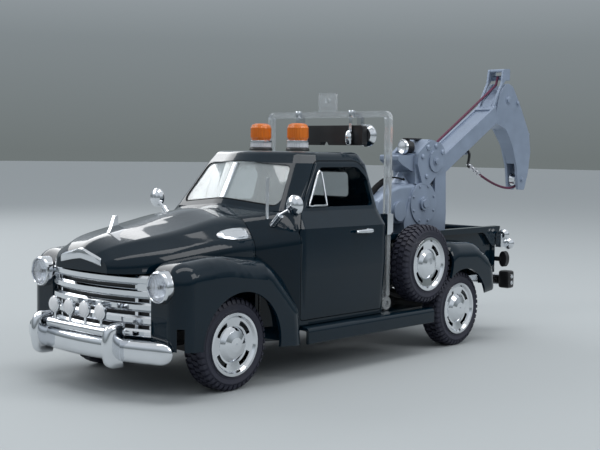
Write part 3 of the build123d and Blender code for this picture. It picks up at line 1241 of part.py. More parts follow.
def rope(points, radii):
    path = FilletPolyline(*points, radius=radii)
    return sweep(Plane(origin=path @ 0, z_dir=path % 0) * Circle(LINE_RADIUS), path)


SLACK_ROUTE = [
    # X, Z of the slack line's bends, from the sheave to the chain
    (-133.3, 81.65), (-127.6, 79.9), (-118.5, 80.3), (-108.5, 82.3), (-98.5, 85.4), (-90.0, 88.7),
]


def make_taut_line():
    """The line from the head, above the boom, up to the roller at its tip."""
    start = crane_point(11.3, 2.4)
    bend = crane_point(90.0, 3.9)
    return rope([(start[0], 0, start[1]), (bend[0], 0, bend[1]), (-107.9, 0, 149.6)], 4.0)


def make_outer_line():
    """The line that leaves the tip and runs down outside the forearm's back."""
    run = Polyline((LINE_TOP[0], 0, LINE_TOP[1]), (LINE_LOW[0], 0, LINE_LOW[1]))
    return sweep(Plane(origin=run @ 0, z_dir=run % 0) * Circle(LINE_RADIUS), run)


def make_slack_line():
    """The slack end between the forearm and the hook's chain."""
    points = [(x, 0, z) for x, z in SLACK_ROUTE]
    radii = []
    for before, here, after in zip(points, points[1:], points[2:]):
        first = Vector(*here) - Vector(*before)
        second = Vector(*after) - Vector(*here)
        turn = math.radians(first.get_angle(second))
        radii.append(0.45 * min(first.length, second.length) / math.tan(turn / 2))
    return rope(points, radii)


def make_hook_chain():
    """Chain links and the hook that is stowed under the boom."""
    start = Vector(-88.6, 0, 89.2)
    end = Vector(-77.5, 0, 94.4)
    run = (end - start)
    chain = None
    count = 5
    for index in range(count):
        middle = start + run * ((index + 0.5) / count)
        link = Torus(1.5, 0.45)
        tilt = math.degrees(math.atan2(run.Z, run.X))
        link = Pos(middle.X, middle.Y, middle.Z) * Rot(0, -tilt, 0) * Rot(90 * (index % 2), 0, 0) * link
        chain = link if chain is None else chain + link
    hook = Pos(-74.5, 0, 97.0) * Rot(90, 0, 0) * Torus(2.4, 0.8)
    gap = block((-76.5, -72.0), (-3, 3), (97.4, 101))
    shank = Pos(-76.6, 0, 96.6) * Rot(0, 0, 0) * Box(1.8, 1.2, 4.0)
    return (chain + (hook - gap) + shank).solids().sort_by(SortBy.VOLUME)[-1]


# Assemble, move to the part's own origin and write

def parts_table():
    shell, door_left, door_right = make_cab_and_doors()
    windshield, rear_window = make_glass()
    bezels, lenses = make_headlamps()
    beacon_bases, beacon_domes = make_beacons()
    fender = make_front_fender()
    plain_rear = make_rear_fender(False)
    door_trim = make_door_trim()
    nodes = {
        "chassis": [make_chassis()],
        "front_axle": [make_front_axle()],
        "rear_axle": [make_rear_axle()],
        "engine_block": [make_engine_block()],
        "radiator_panel": [make_radiator_panel()],
        "front_apron": [make_front_apron()],
        "cab_shell": [shell],
        "cab_floor": [make_cab_floor(), make_dashboard()],
        "bench_seat": [make_bench_seat()],
        "steering_wheel": [make_steering_wheel()],
        "windshield_glass": [windshield],
        "rear_window_glass": [rear_window],
        "front_fenders": both_sides(fender),
        "rear_fenders": [make_rear_fender(True), mirror(plain_rear, Plane.XZ)],
        "running_boards": both_sides(make_running_board()),
        "grille": [make_grille()],
        "headlamp_bezels": bezels,
        "headlamp_lenses": lenses,
        "front_bumper": [make_front_bumper()],
        "auxiliary_lamps": [make_auxiliary_lamps()],
        "bed_box": [make_bed()],
        "spare_tyre": [tyre_at(SPARE_X, SPARE_Y, SPARE_Z, 1)],
        "spare_wheel": [hub_at(SPARE_X, SPARE_Y, SPARE_Z, 1)],
        "hoop": [make_hoop()],
        "hoop_fittings": make_hoop_fittings() + make_bar_lamps(),
        "light_bar": [make_light_bar()],
        "beacon_bases": beacon_bases,
        "beacon_domes": beacon_domes,
        "cab_trim": make_mirrors() + [make_windshield_divider()],
        "rear_bumper": [make_rear_bumper(), make_tow_hitch()],
        "rear_lamps": make_rear_lamps(),
        "tail_lamps": make_tail_lamps(),
        "crane_pedestal": [make_pedestal()],
        "hood": [make_hood()],
        "hood_trim": make_hood_trim(),
        "door_left": [door_left],
        "door_right": [door_right],
        "door_left_trim": door_trim,
        "door_right_trim": [mirror(solid, Plane.XZ) for solid in door_trim],
        "tailgate": [make_tailgate()],
        "knuckle_left": [make_knuckle(1)],
        "knuckle_right": [make_knuckle(-1)],
        "crane_turret": [make_turret()],
        "turret_fittings": make_turret_fittings(),
        "turret_hose": [make_turret_hose()],
        "boom": [make_boom()],
        "taut_line": [make_taut_line()],
        "forearm": [make_forearm()],
        "forearm_sheave": [make_forearm_sheave()],
        "outer_line": [make_outer_line()],
        "slack_line": [make_slack_line()],
        "hook_chain": [make_hook_chain()],
    }
    wheels = [  # name, X, Y, side
        ("front_left", WHEELBASE, FRONT_WHEEL_Y, 1), ("front_right", WHEELBASE, -FRONT_WHEEL_Y, -1),
        ("rear_left", 0.0, REAR_WHEEL_Y, 1), ("rear_right", 0.0, -REAR_WHEEL_Y, -1),
    ]
    for name, x, y, side in wheels:
        nodes["tyre_" + name] = [tyre_at(x, y, TYRE_RADIUS, side)]
        nodes["wheel_" + name] = [hub_at(x, y, TYRE_RADIUS, side)]
    return nodes


def main():
    nodes = parts_table()
    everything = [solid.bounding_box() for solids in nodes.values() for solid in solids]
    front = max(box.max.X for box in everything)
    rear = min(box.min.X for box in everything)
    middle_x = (front + rear) / 2
    print("origin shift", round(-middle_x, 4))
    for name, solids in nodes.items():
        flat = [piece for solid in solids for piece in solid.solids()]
        moved = [Pos(-middle_x, 0, 0) * piece for piece in flat]
        export_step(Compound(children=moved) if len(moved) > 1 else moved[0], "parts/" + name + ".step")


main()
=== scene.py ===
"""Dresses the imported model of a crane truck: finishes, tyre treads, rigging, bolts, studio."""
import json
import logging
import math
from dataclasses import dataclass
from enum import Enum
from typing import Callable, Iterable, Sequence

import bmesh
import bpy
from mathutils import Euler, Matrix, Vector
from mathutils.bvhtree import BVHTree


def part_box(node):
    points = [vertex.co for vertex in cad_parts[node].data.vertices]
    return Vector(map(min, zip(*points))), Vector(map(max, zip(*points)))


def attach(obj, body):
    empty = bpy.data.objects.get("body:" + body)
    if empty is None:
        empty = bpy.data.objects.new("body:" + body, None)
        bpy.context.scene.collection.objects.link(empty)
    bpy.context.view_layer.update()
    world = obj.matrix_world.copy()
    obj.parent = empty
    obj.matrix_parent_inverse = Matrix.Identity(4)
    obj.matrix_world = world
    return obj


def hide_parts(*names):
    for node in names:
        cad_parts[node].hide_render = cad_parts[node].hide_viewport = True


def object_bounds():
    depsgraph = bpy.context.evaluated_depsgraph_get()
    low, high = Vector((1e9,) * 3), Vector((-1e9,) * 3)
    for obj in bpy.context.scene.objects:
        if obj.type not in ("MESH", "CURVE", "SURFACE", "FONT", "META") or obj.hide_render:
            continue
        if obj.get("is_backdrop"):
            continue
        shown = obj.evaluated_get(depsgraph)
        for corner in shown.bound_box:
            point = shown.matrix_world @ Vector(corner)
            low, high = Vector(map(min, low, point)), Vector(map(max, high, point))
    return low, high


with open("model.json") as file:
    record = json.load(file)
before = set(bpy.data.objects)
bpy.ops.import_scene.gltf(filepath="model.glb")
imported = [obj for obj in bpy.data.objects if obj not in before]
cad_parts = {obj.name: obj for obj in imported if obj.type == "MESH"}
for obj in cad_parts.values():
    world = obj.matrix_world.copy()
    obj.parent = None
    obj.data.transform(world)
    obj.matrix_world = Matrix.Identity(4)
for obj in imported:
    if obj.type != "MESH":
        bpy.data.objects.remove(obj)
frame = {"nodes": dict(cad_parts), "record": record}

MM = 0.001
MERGE_DISTANCE = 2e-6  # metres, for the vertices of a CAD node
WELD_DISTANCE = 1e-7  # metres, for the vertices of a draft
AXIS_RADIUS = 1e-6  # millimetres, below which a ring is a single point
LEAST_SIDE = 1e-4  # below which a tube needs a new side direction
FACING_SHARE = 0.35  # of a face's normal, from which it faces a direction
LOG = logging.getLogger("crane_truck")
FORWARD = Vector((1, 0, 0))
REARWARD = Vector((-1, 0, 0))
UPWARD = Vector((0, 0, 1))
LEFTWARD = Vector((0, 1, 0))
Couple = tuple[float, float]
Triple = tuple[float, float, float]
Point = Triple
Colour = Triple
Corner = bmesh.types.BMVert
Piece = bpy.types.Object
Socket = bpy.types.NodeSocket
Material = bpy.types.Material


# Places

@dataclass(frozen=True)
class Datum:
    """The rear axle's place in the frame. Sizes in this script are millimetres from it."""

    rear_axle_x: float

    @classmethod
    def from_frame(cls) -> "Datum":
        """Reads the rear axle's X from the rear tyre's solid."""
        low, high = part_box("tyre_rear_left")
        return cls((low.x + high.x) / 2)

    def at(self, point: Sequence[float]) -> Vector:
        """Turns millimetres from the rear axle into metres in the frame."""
        return Vector((self.rear_axle_x + point[0] * MM, point[1] * MM, point[2] * MM))

    def box_mm(self, node: str) -> tuple[Vector, Vector]:
        """Gives a node's lowest and highest corners in millimetres from the rear axle.

        Args:
            node: the CAD node's name.

        Returns:
            Its lowest corner and its highest one.
        """
        low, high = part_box(node)
        shift = Vector((self.rear_axle_x, 0, 0))
        return (low - shift) / MM, (high - shift) / MM


DATUM = Datum.from_frame()


class Side(Enum):
    """The truck's two sides, as the sign of Y."""

    LEFT = 1
    RIGHT = -1

    def outward(self) -> Vector:
        """Gives the way that this side faces."""
        return Vector((0, self.value, 0))

    def place(self, point: Point) -> Point:
        """Gives the place on this side for a place on the left."""
        return (point[0], self.value * point[1], point[2])

    def box(self, low: Point, high: Point) -> tuple[Point, Point]:
        """Gives the corners on this side for a box on the left."""
        near, far = sorted((self.value * low[1], self.value * high[1]))
        return (low[0], near, low[2]), (high[0], far, high[2])


def pair(point: Point) -> list[Point]:
    """Gives a place on the left and its mirror place on the right."""
    return [side.place(point) for side in Side]


def add_object(name: str, data: bpy.types.ID) -> Piece:
    """Puts an object with these data into the scene.

    Args:
        name: the object's name.
        data: its mesh, curve, lamp or camera.

    Returns:
        The new object.
    """
    made = bpy.data.objects.new(name, data)
    bpy.context.scene.collection.objects.link(made)
    return made


# Finishes

class Pattern(Enum):
    """The relief that a finish carries besides its grain."""

    NONE = "none"
    RIBS = "upright ribs"
    STRANDS = "twisted strands"
    PLEATS = "sewn pleats"


BAND_DIRECTIONS = {Pattern.RIBS: "Y", Pattern.STRANDS: "DIAGONAL", Pattern.PLEATS: "Y"}
NOISE_RANGE = (0.3, 0.7)  # where most of a noise texture's values lie
LEAST_ROUGHNESS = 0.02
PATCH_DETAIL = 3.0
GRAIN_DETAIL = 4.0
DUST_AND_SHEEN_DETAIL = 6.0
DUST_AND_SHEEN_SPOT = 3.0  # millimetres
DUST_AND_SHEEN_FROM = 0.2  # of a normal's upward part, from which dust settles and, on the tyres, a painted sky sheen lightens the colour
EDGE_SAMPLES = 4


@dataclass(frozen=True)
class Finish:
    """A surface finish: its colours, gloss, grain and relief.

    Lengths are millimetres. The colour spread is the share by which broad, soft patches are
    paler or darker, and the roughness spread is how far they move the roughness.
    """

    name: str
    slot: str
    colour: Colour
    metallic: float = 0.0
    roughness: float = 0.4
    roughness_spread: float = 0.08
    colour_spread: float = 0.12
    grain: float = 0.5
    relief: float = 0.01
    patch: float = 9.0
    rounding: float = 0.0
    coat: float = 0.0
    coat_roughness: float = 0.03
    coat_ior: float = 1.5
    transmission: float = 0.0
    ior: float = 1.5
    specular: float = 0.5
    pattern: Pattern = Pattern.NONE
    pitch: float = 1.0
    depth: float = 0.05
    dust_and_sheen: float = 0.0
    dust_and_sheen_colour: Colour = (0.4, 0.38, 0.34)

    def material(self) -> Material:
        """Builds the finish's node material once, and gives it back after that.

        Returns:
            The material that carries this finish's name.
        """
        known = bpy.data.materials.get(self.name + "_finish")
        if known is not None:
            return known
        material = bpy.data.materials.new(self.name + "_finish")
        material.use_nodes = True
        nodes = material.node_tree.nodes
        links = material.node_tree.links
        shader = nodes["Principled BSDF"]
        values = {
            "Metallic": self.metallic, "IOR": self.ior, "Specular IOR Level": self.specular,
            "Coat Weight": self.coat, "Coat Roughness": self.coat_roughness,
            "Coat IOR": self.coat_ior, "Transmission Weight": self.transmission,
        }
        for name, value in values.items():
            shader.inputs[name].default_value = value
        place = nodes.new("ShaderNodeTexCoord").outputs["Object"]
        patches = self.noise(material, place, self.patch, PATCH_DETAIL)
        self.link_colour(material, place, patches)
        rough = nodes.new("ShaderNodeMapRange")
        rough.inputs["From Min"].default_value = NOISE_RANGE[0]
        rough.inputs["From Max"].default_value = NOISE_RANGE[1]
        rough.inputs["To Min"].default_value = max(LEAST_ROUGHNESS,
                                                     self.roughness - self.roughness_spread)
        rough.inputs["To Max"].default_value = self.roughness + self.roughness_spread
        links.new(patches, rough.inputs["Value"])
        links.new(rough.outputs["Result"], shader.inputs["Roughness"])
        self.link_relief(material, place)
        return material

    @staticmethod
    def noise(material: Material, place: Socket, size: float, detail: float) -> Socket:
        """Adds a noise texture.

        Args:
            material: the material that gets the node.
            place: the coordinates it reads.
            size: the size of its spots in millimetres.
            detail: how many finer layers it has.

        Returns:
            The noise's value.
        """
        node = material.node_tree.nodes.new("ShaderNodeTexNoise")
        node.inputs["Scale"].default_value = 1.0 / (size * MM)
        node.inputs["Detail"].default_value = detail
        material.node_tree.links.new(place, node.inputs["Vector"])
        return node.outputs["Fac"]

    def link_colour(self, material: Material, place: Socket, patches: Socket) -> None:
        """Links the base colour: soft patches, and a paler colour on what faces up, which is dust on the
        black parts and painted sheen of the sky on the tyres.

        Args:
            material: the material to dress.
            place: the coordinates that the spots of dust and painted sheen read.
            patches: the soft noise that moves the colour.
        """
        nodes = material.node_tree.nodes
        links = material.node_tree.links
        shader = nodes["Principled BSDF"]
        ramp = nodes.new("ShaderNodeValToRGB")
        ramp.color_ramp.elements[0].position = NOISE_RANGE[0]
        ramp.color_ramp.elements[1].position = NOISE_RANGE[1]
        ramp.color_ramp.elements[0].color = self.shade(1 - self.colour_spread)
        ramp.color_ramp.elements[1].color = self.shade(1 + self.colour_spread)
        links.new(patches, ramp.inputs["Fac"])
        colour = ramp.outputs["Color"]
        # What faces up is mixed toward a paler colour: dust on the black parts, painted sky sheen on the
        # tyres.
        if self.dust_and_sheen:
            facing = nodes.new("ShaderNodeSeparateXYZ")
            links.new(nodes.new("ShaderNodeNewGeometry").outputs["Normal"], facing.inputs[0])
            upward = nodes.new("ShaderNodeMapRange")
            upward.inputs["From Min"].default_value = DUST_AND_SHEEN_FROM
            upward.inputs["To Max"].default_value = self.dust_and_sheen
            links.new(facing.outputs["Z"], upward.inputs["Value"])
            spots = nodes.new("ShaderNodeMath")
            spots.operation = "MULTIPLY"
            links.new(upward.outputs["Result"], spots.inputs[0])
            links.new(self.noise(material, place, DUST_AND_SHEEN_SPOT, DUST_AND_SHEEN_DETAIL), spots.inputs[1])
            mix = nodes.new("ShaderNodeMix")
            mix.data_type = "RGBA"
            mix.inputs["B"].default_value = (*self.dust_and_sheen_colour, 1.0)
            links.new(spots.outputs[0], mix.inputs["Factor"])
            links.new(colour, mix.inputs["A"])
            colour = mix.outputs["Result"]
        links.new(colour, shader.inputs["Base Color"])

    def shade(self, share: float) -> tuple[float, float, float, float]:
        """Gives the colour made paler or darker by a share, with full alpha."""
        return (*(min(1.0, part * share) for part in self.colour), 1.0)

    def link_relief(self, material: Material, place: Socket) -> None:
        """Links grain, pattern and rounded edges into the shader's normal.

        Args:
            material: the material to dress.
            place: the coordinates that the relief reads.
        """
        nodes = material.node_tree.nodes
        links = material.node_tree.links
        shader = nodes["Principled BSDF"]
        bump = nodes.new("ShaderNodeBump")
        bump.inputs["Distance"].default_value = self.relief * MM
        links.new(self.noise(material, place, self.grain, GRAIN_DETAIL), bump.inputs["Height"])
        if self.rounding:
            edge = nodes.new("ShaderNodeBevel")
            edge.samples = EDGE_SAMPLES
            edge.inputs["Radius"].default_value = self.rounding * MM
            links.new(edge.outputs["Normal"], bump.inputs["Normal"])
        if self.pattern is not Pattern.NONE:
            wave = nodes.new("ShaderNodeTexWave")
            wave.wave_type = "BANDS"
            wave.bands_direction = BAND_DIRECTIONS[self.pattern]
            # The bands of a wave texture lie pi / (10 * scale) apart.
            wave.inputs["Scale"].default_value = math.pi / (10 * self.pitch * MM)
            links.new(place, wave.inputs["Vector"])
            over = nodes.new("ShaderNodeBump")
            over.inputs["Distance"].default_value = self.depth * MM
            links.new(wave.outputs["Fac"], over.inputs["Height"])
            links.new(bump.outputs["Normal"], over.inputs["Normal"])
            bump = over
        links.new(bump.outputs["Normal"], shader.inputs["Normal"])

    def dress(self, piece: Piece) -> None:
        """Gives a piece, or a CAD node, this finish alone."""
        piece.data.materials.clear()
        piece.data.materials.append(self.material())


PAINT = Finish("body_paint", "body_paint", (0.0010, 0.0095, 0.0180), roughness=0.20,
               roughness_spread=0.04, specular=0.03, coat=0.95, coat_ior=1.35, relief=0.0015,
               grain=0.9, rounding=0.4, colour_spread=0.08, patch=14)
CAST = Finish("crane_paint", "crane_paint", (0.268, 0.325, 0.425), metallic=0.25, roughness=0.36,
              relief=0.012, grain=0.6, rounding=0.45, colour_spread=0.05, patch=7)
CHROME = Finish("chrome", "chrome", (0.75, 0.77, 0.80), metallic=1.0, roughness=0.09,
                roughness_spread=0.04, colour_spread=0.03, relief=0.003, grain=0.8, rounding=0.15)
STEEL = Finish("plated_steel", "chrome", (0.62, 0.62, 0.65), metallic=1.0, roughness=0.28,
               relief=0.006, grain=0.3, rounding=0.1)
BLACK = Finish("black_plastic", "black_plastic", (0.010, 0.010, 0.012), roughness=0.38,
               relief=0.006, grain=0.25, rounding=0.25, dust_and_sheen=0.03)
CHASSIS = Finish("chassis_black", "chassis_black", (0.014, 0.014, 0.016), roughness=0.5,
                 relief=0.012, grain=0.4, rounding=0.3, dust_and_sheen=0.10)
# The tyres' upward faces turn paler and bluish: painted sheen of the sky, in spots like dust.
RUBBER = Finish("tyre_rubber", "tyre_rubber", (0.016, 0.017, 0.032), roughness=0.62, relief=0.02,
                grain=0.3, dust_and_sheen=0.10, dust_and_sheen_colour=(0.10, 0.10, 0.14))
CLEAR = Finish("clear_plastic", "clear_plastic", (0.84, 0.87, 0.89), roughness=0.10,
               roughness_spread=0.04, transmission=0.76, ior=1.49, relief=0.004, grain=2.0,
               colour_spread=0.03)
FROSTED = Finish("frosted_plastic", "clear_plastic", (0.88, 0.89, 0.95), roughness=0.22,
                 transmission=0.12, ior=1.49, relief=0.004, pattern=Pattern.RIBS, pitch=0.9,
                 depth=0.12, colour_spread=0.05)
GLASS = Finish("window_glass", "glass", (0.80, 0.86, 0.87), roughness=0.04, roughness_spread=0.015,
               transmission=0.75, ior=1.6, relief=0.001, grain=4.0, colour_spread=0.02)
LENS = Finish("lamp_glass", "lamp_glass", (0.93, 0.95, 0.98), roughness=0.06, roughness_spread=0.02,
              transmission=0.94, relief=0.002, pattern=Pattern.RIBS, pitch=0.9, depth=0.05,
              colour_spread=0.03)
MILKY = Finish("milky_lens", "lamp_glass", (0.90, 0.90, 0.92), roughness=0.12,
               transmission=0.05, relief=0.002, pattern=Pattern.RIBS, pitch=0.7, depth=0.1,
               colour_spread=0.04)
AMBER = Finish("amber_plastic", "amber_plastic", (0.94, 0.235, 0.022), roughness=0.14,
               transmission=0.3, relief=0.002, pattern=Pattern.RIBS, pitch=0.9, depth=0.16,
               colour_spread=0.1)
VINYL = Finish("seat_vinyl", "seat_vinyl", (0.035, 0.032, 0.033), roughness=0.5, relief=0.02,
               grain=0.35, pattern=Pattern.PLEATS, pitch=4.0, depth=0.5)
CORD = Finish("line_cord", "line_cord", (0.095, 0.010, 0.042), roughness=0.6, relief=0.03, grain=0.2,
              pattern=Pattern.STRANDS, pitch=0.7, depth=0.12)
DISH = Finish("lamp_dish", "chrome", (0.90, 0.91, 0.95), metallic=1.0, roughness=0.24,
              roughness_spread=0.05, colour_spread=0.03, relief=0.002, grain=0.5)
SEAL = Finish("rubber_seal", "black_plastic", (0.007, 0.007, 0.008), roughness=0.6, specular=0.12,
              relief=0.003, grain=0.4)
NODE_FINISHES = {finish.slot: finish for finish in (
    PAINT, CAST, CHROME, BLACK, CHASSIS, RUBBER, CLEAR, GLASS, LENS, AMBER, VINYL, CORD)}
NODE_CHOICES = {"beacon_bases": FROSTED}


# Mesh building

class Draft:
    """Collects the solids of one piece. Every length is millimetres from the rear axle."""

    def __init__(self) -> None:
        """Starts an empty draft."""
        self.mesh = bmesh.new()

    def lathe(self, profile: Sequence[Couple], places: Iterable[Point], axis: Vector,
              segments: int = 40, closed: bool = False) -> "Draft":
        """Turns a profile about an axis, once at each place.

        Args:
            profile: pairs of radius and distance along the axis.
            places: the points that the distances start from.
            axis: the direction of the axis.
            segments: how many steps make a full turn.
            closed: whether the last pair joins the first one.

        Returns:
            This draft.
        """
        turn = axis.normalized().to_track_quat("Z", "Y").to_matrix()
        for place in places:
            rings = []
            for radius, along in profile:
                ring = []
                for step in range(segments if radius > AXIS_RADIUS else 1):
                    angle = 2 * math.pi * step / segments
                    local = Vector((radius * math.cos(angle), radius * math.sin(angle), along))
                    ring.append(self.mesh.verts.new(DATUM.at(Vector(place) + turn @ local)))
                rings.append(ring)
            for first, second in zip(rings, rings[1:]):
                self.join_rings(first, second, segments)
            if closed:
                self.join_rings(rings[-1], rings[0], segments)
        return self

    def join_rings(self, first: Sequence[Corner], second: Sequence[Corner], segments: int) -> None:
        """Makes the faces between two rings, either of which may be a single point.

        Args:
            first: one ring's corners.
            second: the next ring's corners.
            segments: how many faces go round.
        """
        for step in range(segments):
            after = (step + 1) % segments
            corners = [first[step % len(first)], first[after % len(first)],
                       second[after % len(second)], second[step % len(second)]]
            unique = list(dict.fromkeys(corners))
            if len(unique) > 2:
                self.mesh.faces.new(unique)

    def tube(self, points: Sequence[Sequence[float]], radius: float, segments: int = 10,
             closed: bool = False) -> None:
        """Sweeps a circle along points.

        Args:
            points: the centre line.
            radius: the circle's radius.
            segments: how many corners the circle has.
            closed: whether the line is a loop.
        """
        line = [Vector(point) for point in points]
        count = len(line)
        side = UPWARD.copy()
        rings = []
        for index, here in enumerate(line):
            after = line[(index + 1) % count] if closed or index + 1 < count else here
            before = line[index - 1] if closed or index else here
            along = (after - before).normalized()
            side = side - along * side.dot(along)
            if side.length < LEAST_SIDE:
                side = along.orthogonal()
            side.normalize()
            up = along.cross(side)
            rings.append([
                self.mesh.verts.new(DATUM.at(here + radius * (
                    side * math.cos(2 * math.pi * step / segments)
                    + up * math.sin(2 * math.pi * step / segments))))
                for step in range(segments)])
        for first, second in zip(rings, rings[1:]):
            self.join_rings(first, second, segments)
        if closed:
            self.join_rings(rings[-1], rings[0], segments)
        else:
            self.mesh.faces.new(rings[0][::-1])
            self.mesh.faces.new(rings[-1])

    def loft(self, rings: Sequence[Sequence[Sequence[float]]]) -> None:
        """Skins a row of rings that have the same number of points, and caps both ends.

        Args:
            rings: the rings' points, each in the same order.
        """
        made = [[self.mesh.verts.new(DATUM.at(point)) for point in ring] for ring in rings]
        for first, second in zip(made, made[1:]):
            self.join_rings(first, second, len(first))
        self.mesh.faces.new(made[0][::-1])
        self.mesh.faces.new(made[-1])

    def plate(self, low: Point, high: Point, bevel: float = 0.2, turn: Euler | None = None) -> None:
        """Adds a box with bevelled edges.

        Args:
            low: its lowest corner.
            high: its highest corner.
            bevel: the width of its bevels.
            turn: how it is turned about its middle.
        """
        middle = (Vector(low) + Vector(high)) / 2
        size = Vector(high) - Vector(low)
        turned = (turn or Euler()).to_matrix().to_4x4()
        matrix = Matrix.Translation(DATUM.at(middle)) @ turned @ Matrix.Diagonal((*(size * MM), 1))
        made = bmesh.ops.create_cube(self.mesh, size=1.0, matrix=matrix)
        if bevel:
            edges = list(dict.fromkeys(edge for vert in made["verts"] for edge in vert.link_edges))
            bmesh.ops.bevel(self.mesh, geom=edges, offset=bevel * MM, segments=2, profile=0.5,
                            affect="EDGES")

    def bolt(self, seat: Point, axis: Vector, width: float = 1.6, height: float = 0.7) -> None:
        """Adds a hexagon head on a washer.

        Args:
            seat: the middle of the washer's underside.
            axis: the way that the head points.
            width: the head's width across its corners.
            height: the head's height.
        """
        reach = width / 2
        self.lathe([(0, 0), (reach * 1.35, 0), (reach * 1.35, height * 0.22), (0, height * 0.22)],
                   [seat], axis, 20)
        self.lathe([(reach, height * 0.2), (reach, height * 0.85), (reach * 0.82, height),
                    (0, height)], [seat], axis, 6)

    def piece(self, name: str, body: str, finish: Finish, sharp: float = 35.0) -> Piece:
        """Turns the draft into a piece of the scene.

        Args:
            name: the piece's name.
            body: the body that it rides on.
            finish: its finish.
            sharp: the angle in degrees above which an edge stays sharp.

        Returns:
            The new object.
        """
        bmesh.ops.remove_doubles(self.mesh, verts=self.mesh.verts, dist=WELD_DISTANCE)
        bmesh.ops.recalc_face_normals(self.mesh, faces=self.mesh.faces)
        limit = math.radians(sharp)
        for edge in self.mesh.edges:
            edge.smooth = len(edge.link_faces) == 2 and edge.calc_face_angle(0) < limit
        for face in self.mesh.faces:
            face.smooth = True
        data = bpy.data.meshes.new(name)
        self.mesh.to_mesh(data)
        self.mesh.free()
        made = add_object(name, data)
        finish.dress(made)
        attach(made, body)
        return made


def rim_of(node: str, facing: Vector) -> list[Vector]:
    """Follows the edge of a node's side that faces one way.

    Args:
        node: the CAD node's name.
        facing: the direction that the side faces.

    Returns:
        The loop's points in millimetres from the rear axle, in order.
    """
    work = bmesh.new()
    work.from_mesh(frame["nodes"][node].data)
    bmesh.ops.remove_doubles(work, verts=work.verts, dist=MERGE_DISTANCE)
    chosen = {face for face in work.faces if face.normal.dot(facing) > FACING_SHARE}
    border = [edge for edge in work.edges
              if sum(face in chosen for face in edge.link_faces) == 1]
    neighbours: dict[Corner, list[Corner]] = {}
    for edge in border:
        for vert in edge.verts:
            neighbours.setdefault(vert, []).append(edge.other_vert(vert))
    loops = []
    unseen = dict.fromkeys(neighbours)
    while unseen:
        loop = []
        following = [next(iter(unseen))]
        while following:
            loop.append(following[0])
            del unseen[following[0]]
            following = [other for other in neighbours[loop[-1]] if other in unseen]
        loops.append(loop)
    longest = max(loops, key=len)
    points = [(vert.co - Vector((DATUM.rear_axle_x, 0, 0))) / MM for vert in longest]
    work.free()
    return points


def smooth_line(points: Sequence[Sequence[float]], steps: int) -> list[Vector]:
    """Runs a smooth line through points.

    Args:
        points: the points to pass.
        steps: how many parts each stretch gets.

    Returns:
        The line's points.
    """
    line = [Vector(point) for point in points]
    padded = [line[0] * 2 - line[1], *line, line[-1] * 2 - line[-2]]
    result = []
    for a, b, c, d in zip(padded, padded[1:], padded[2:], padded[3:]):
        for step in range(steps):
            t = step / steps
            result.append(0.5 * (2 * b + (c - a) * t + (2 * a - 5 * b + 4 * c - d) * t ** 2
                                 + (3 * b - a - 3 * c + d) * t ** 3))
    result.append(line[-1])
    return result


# Tyres

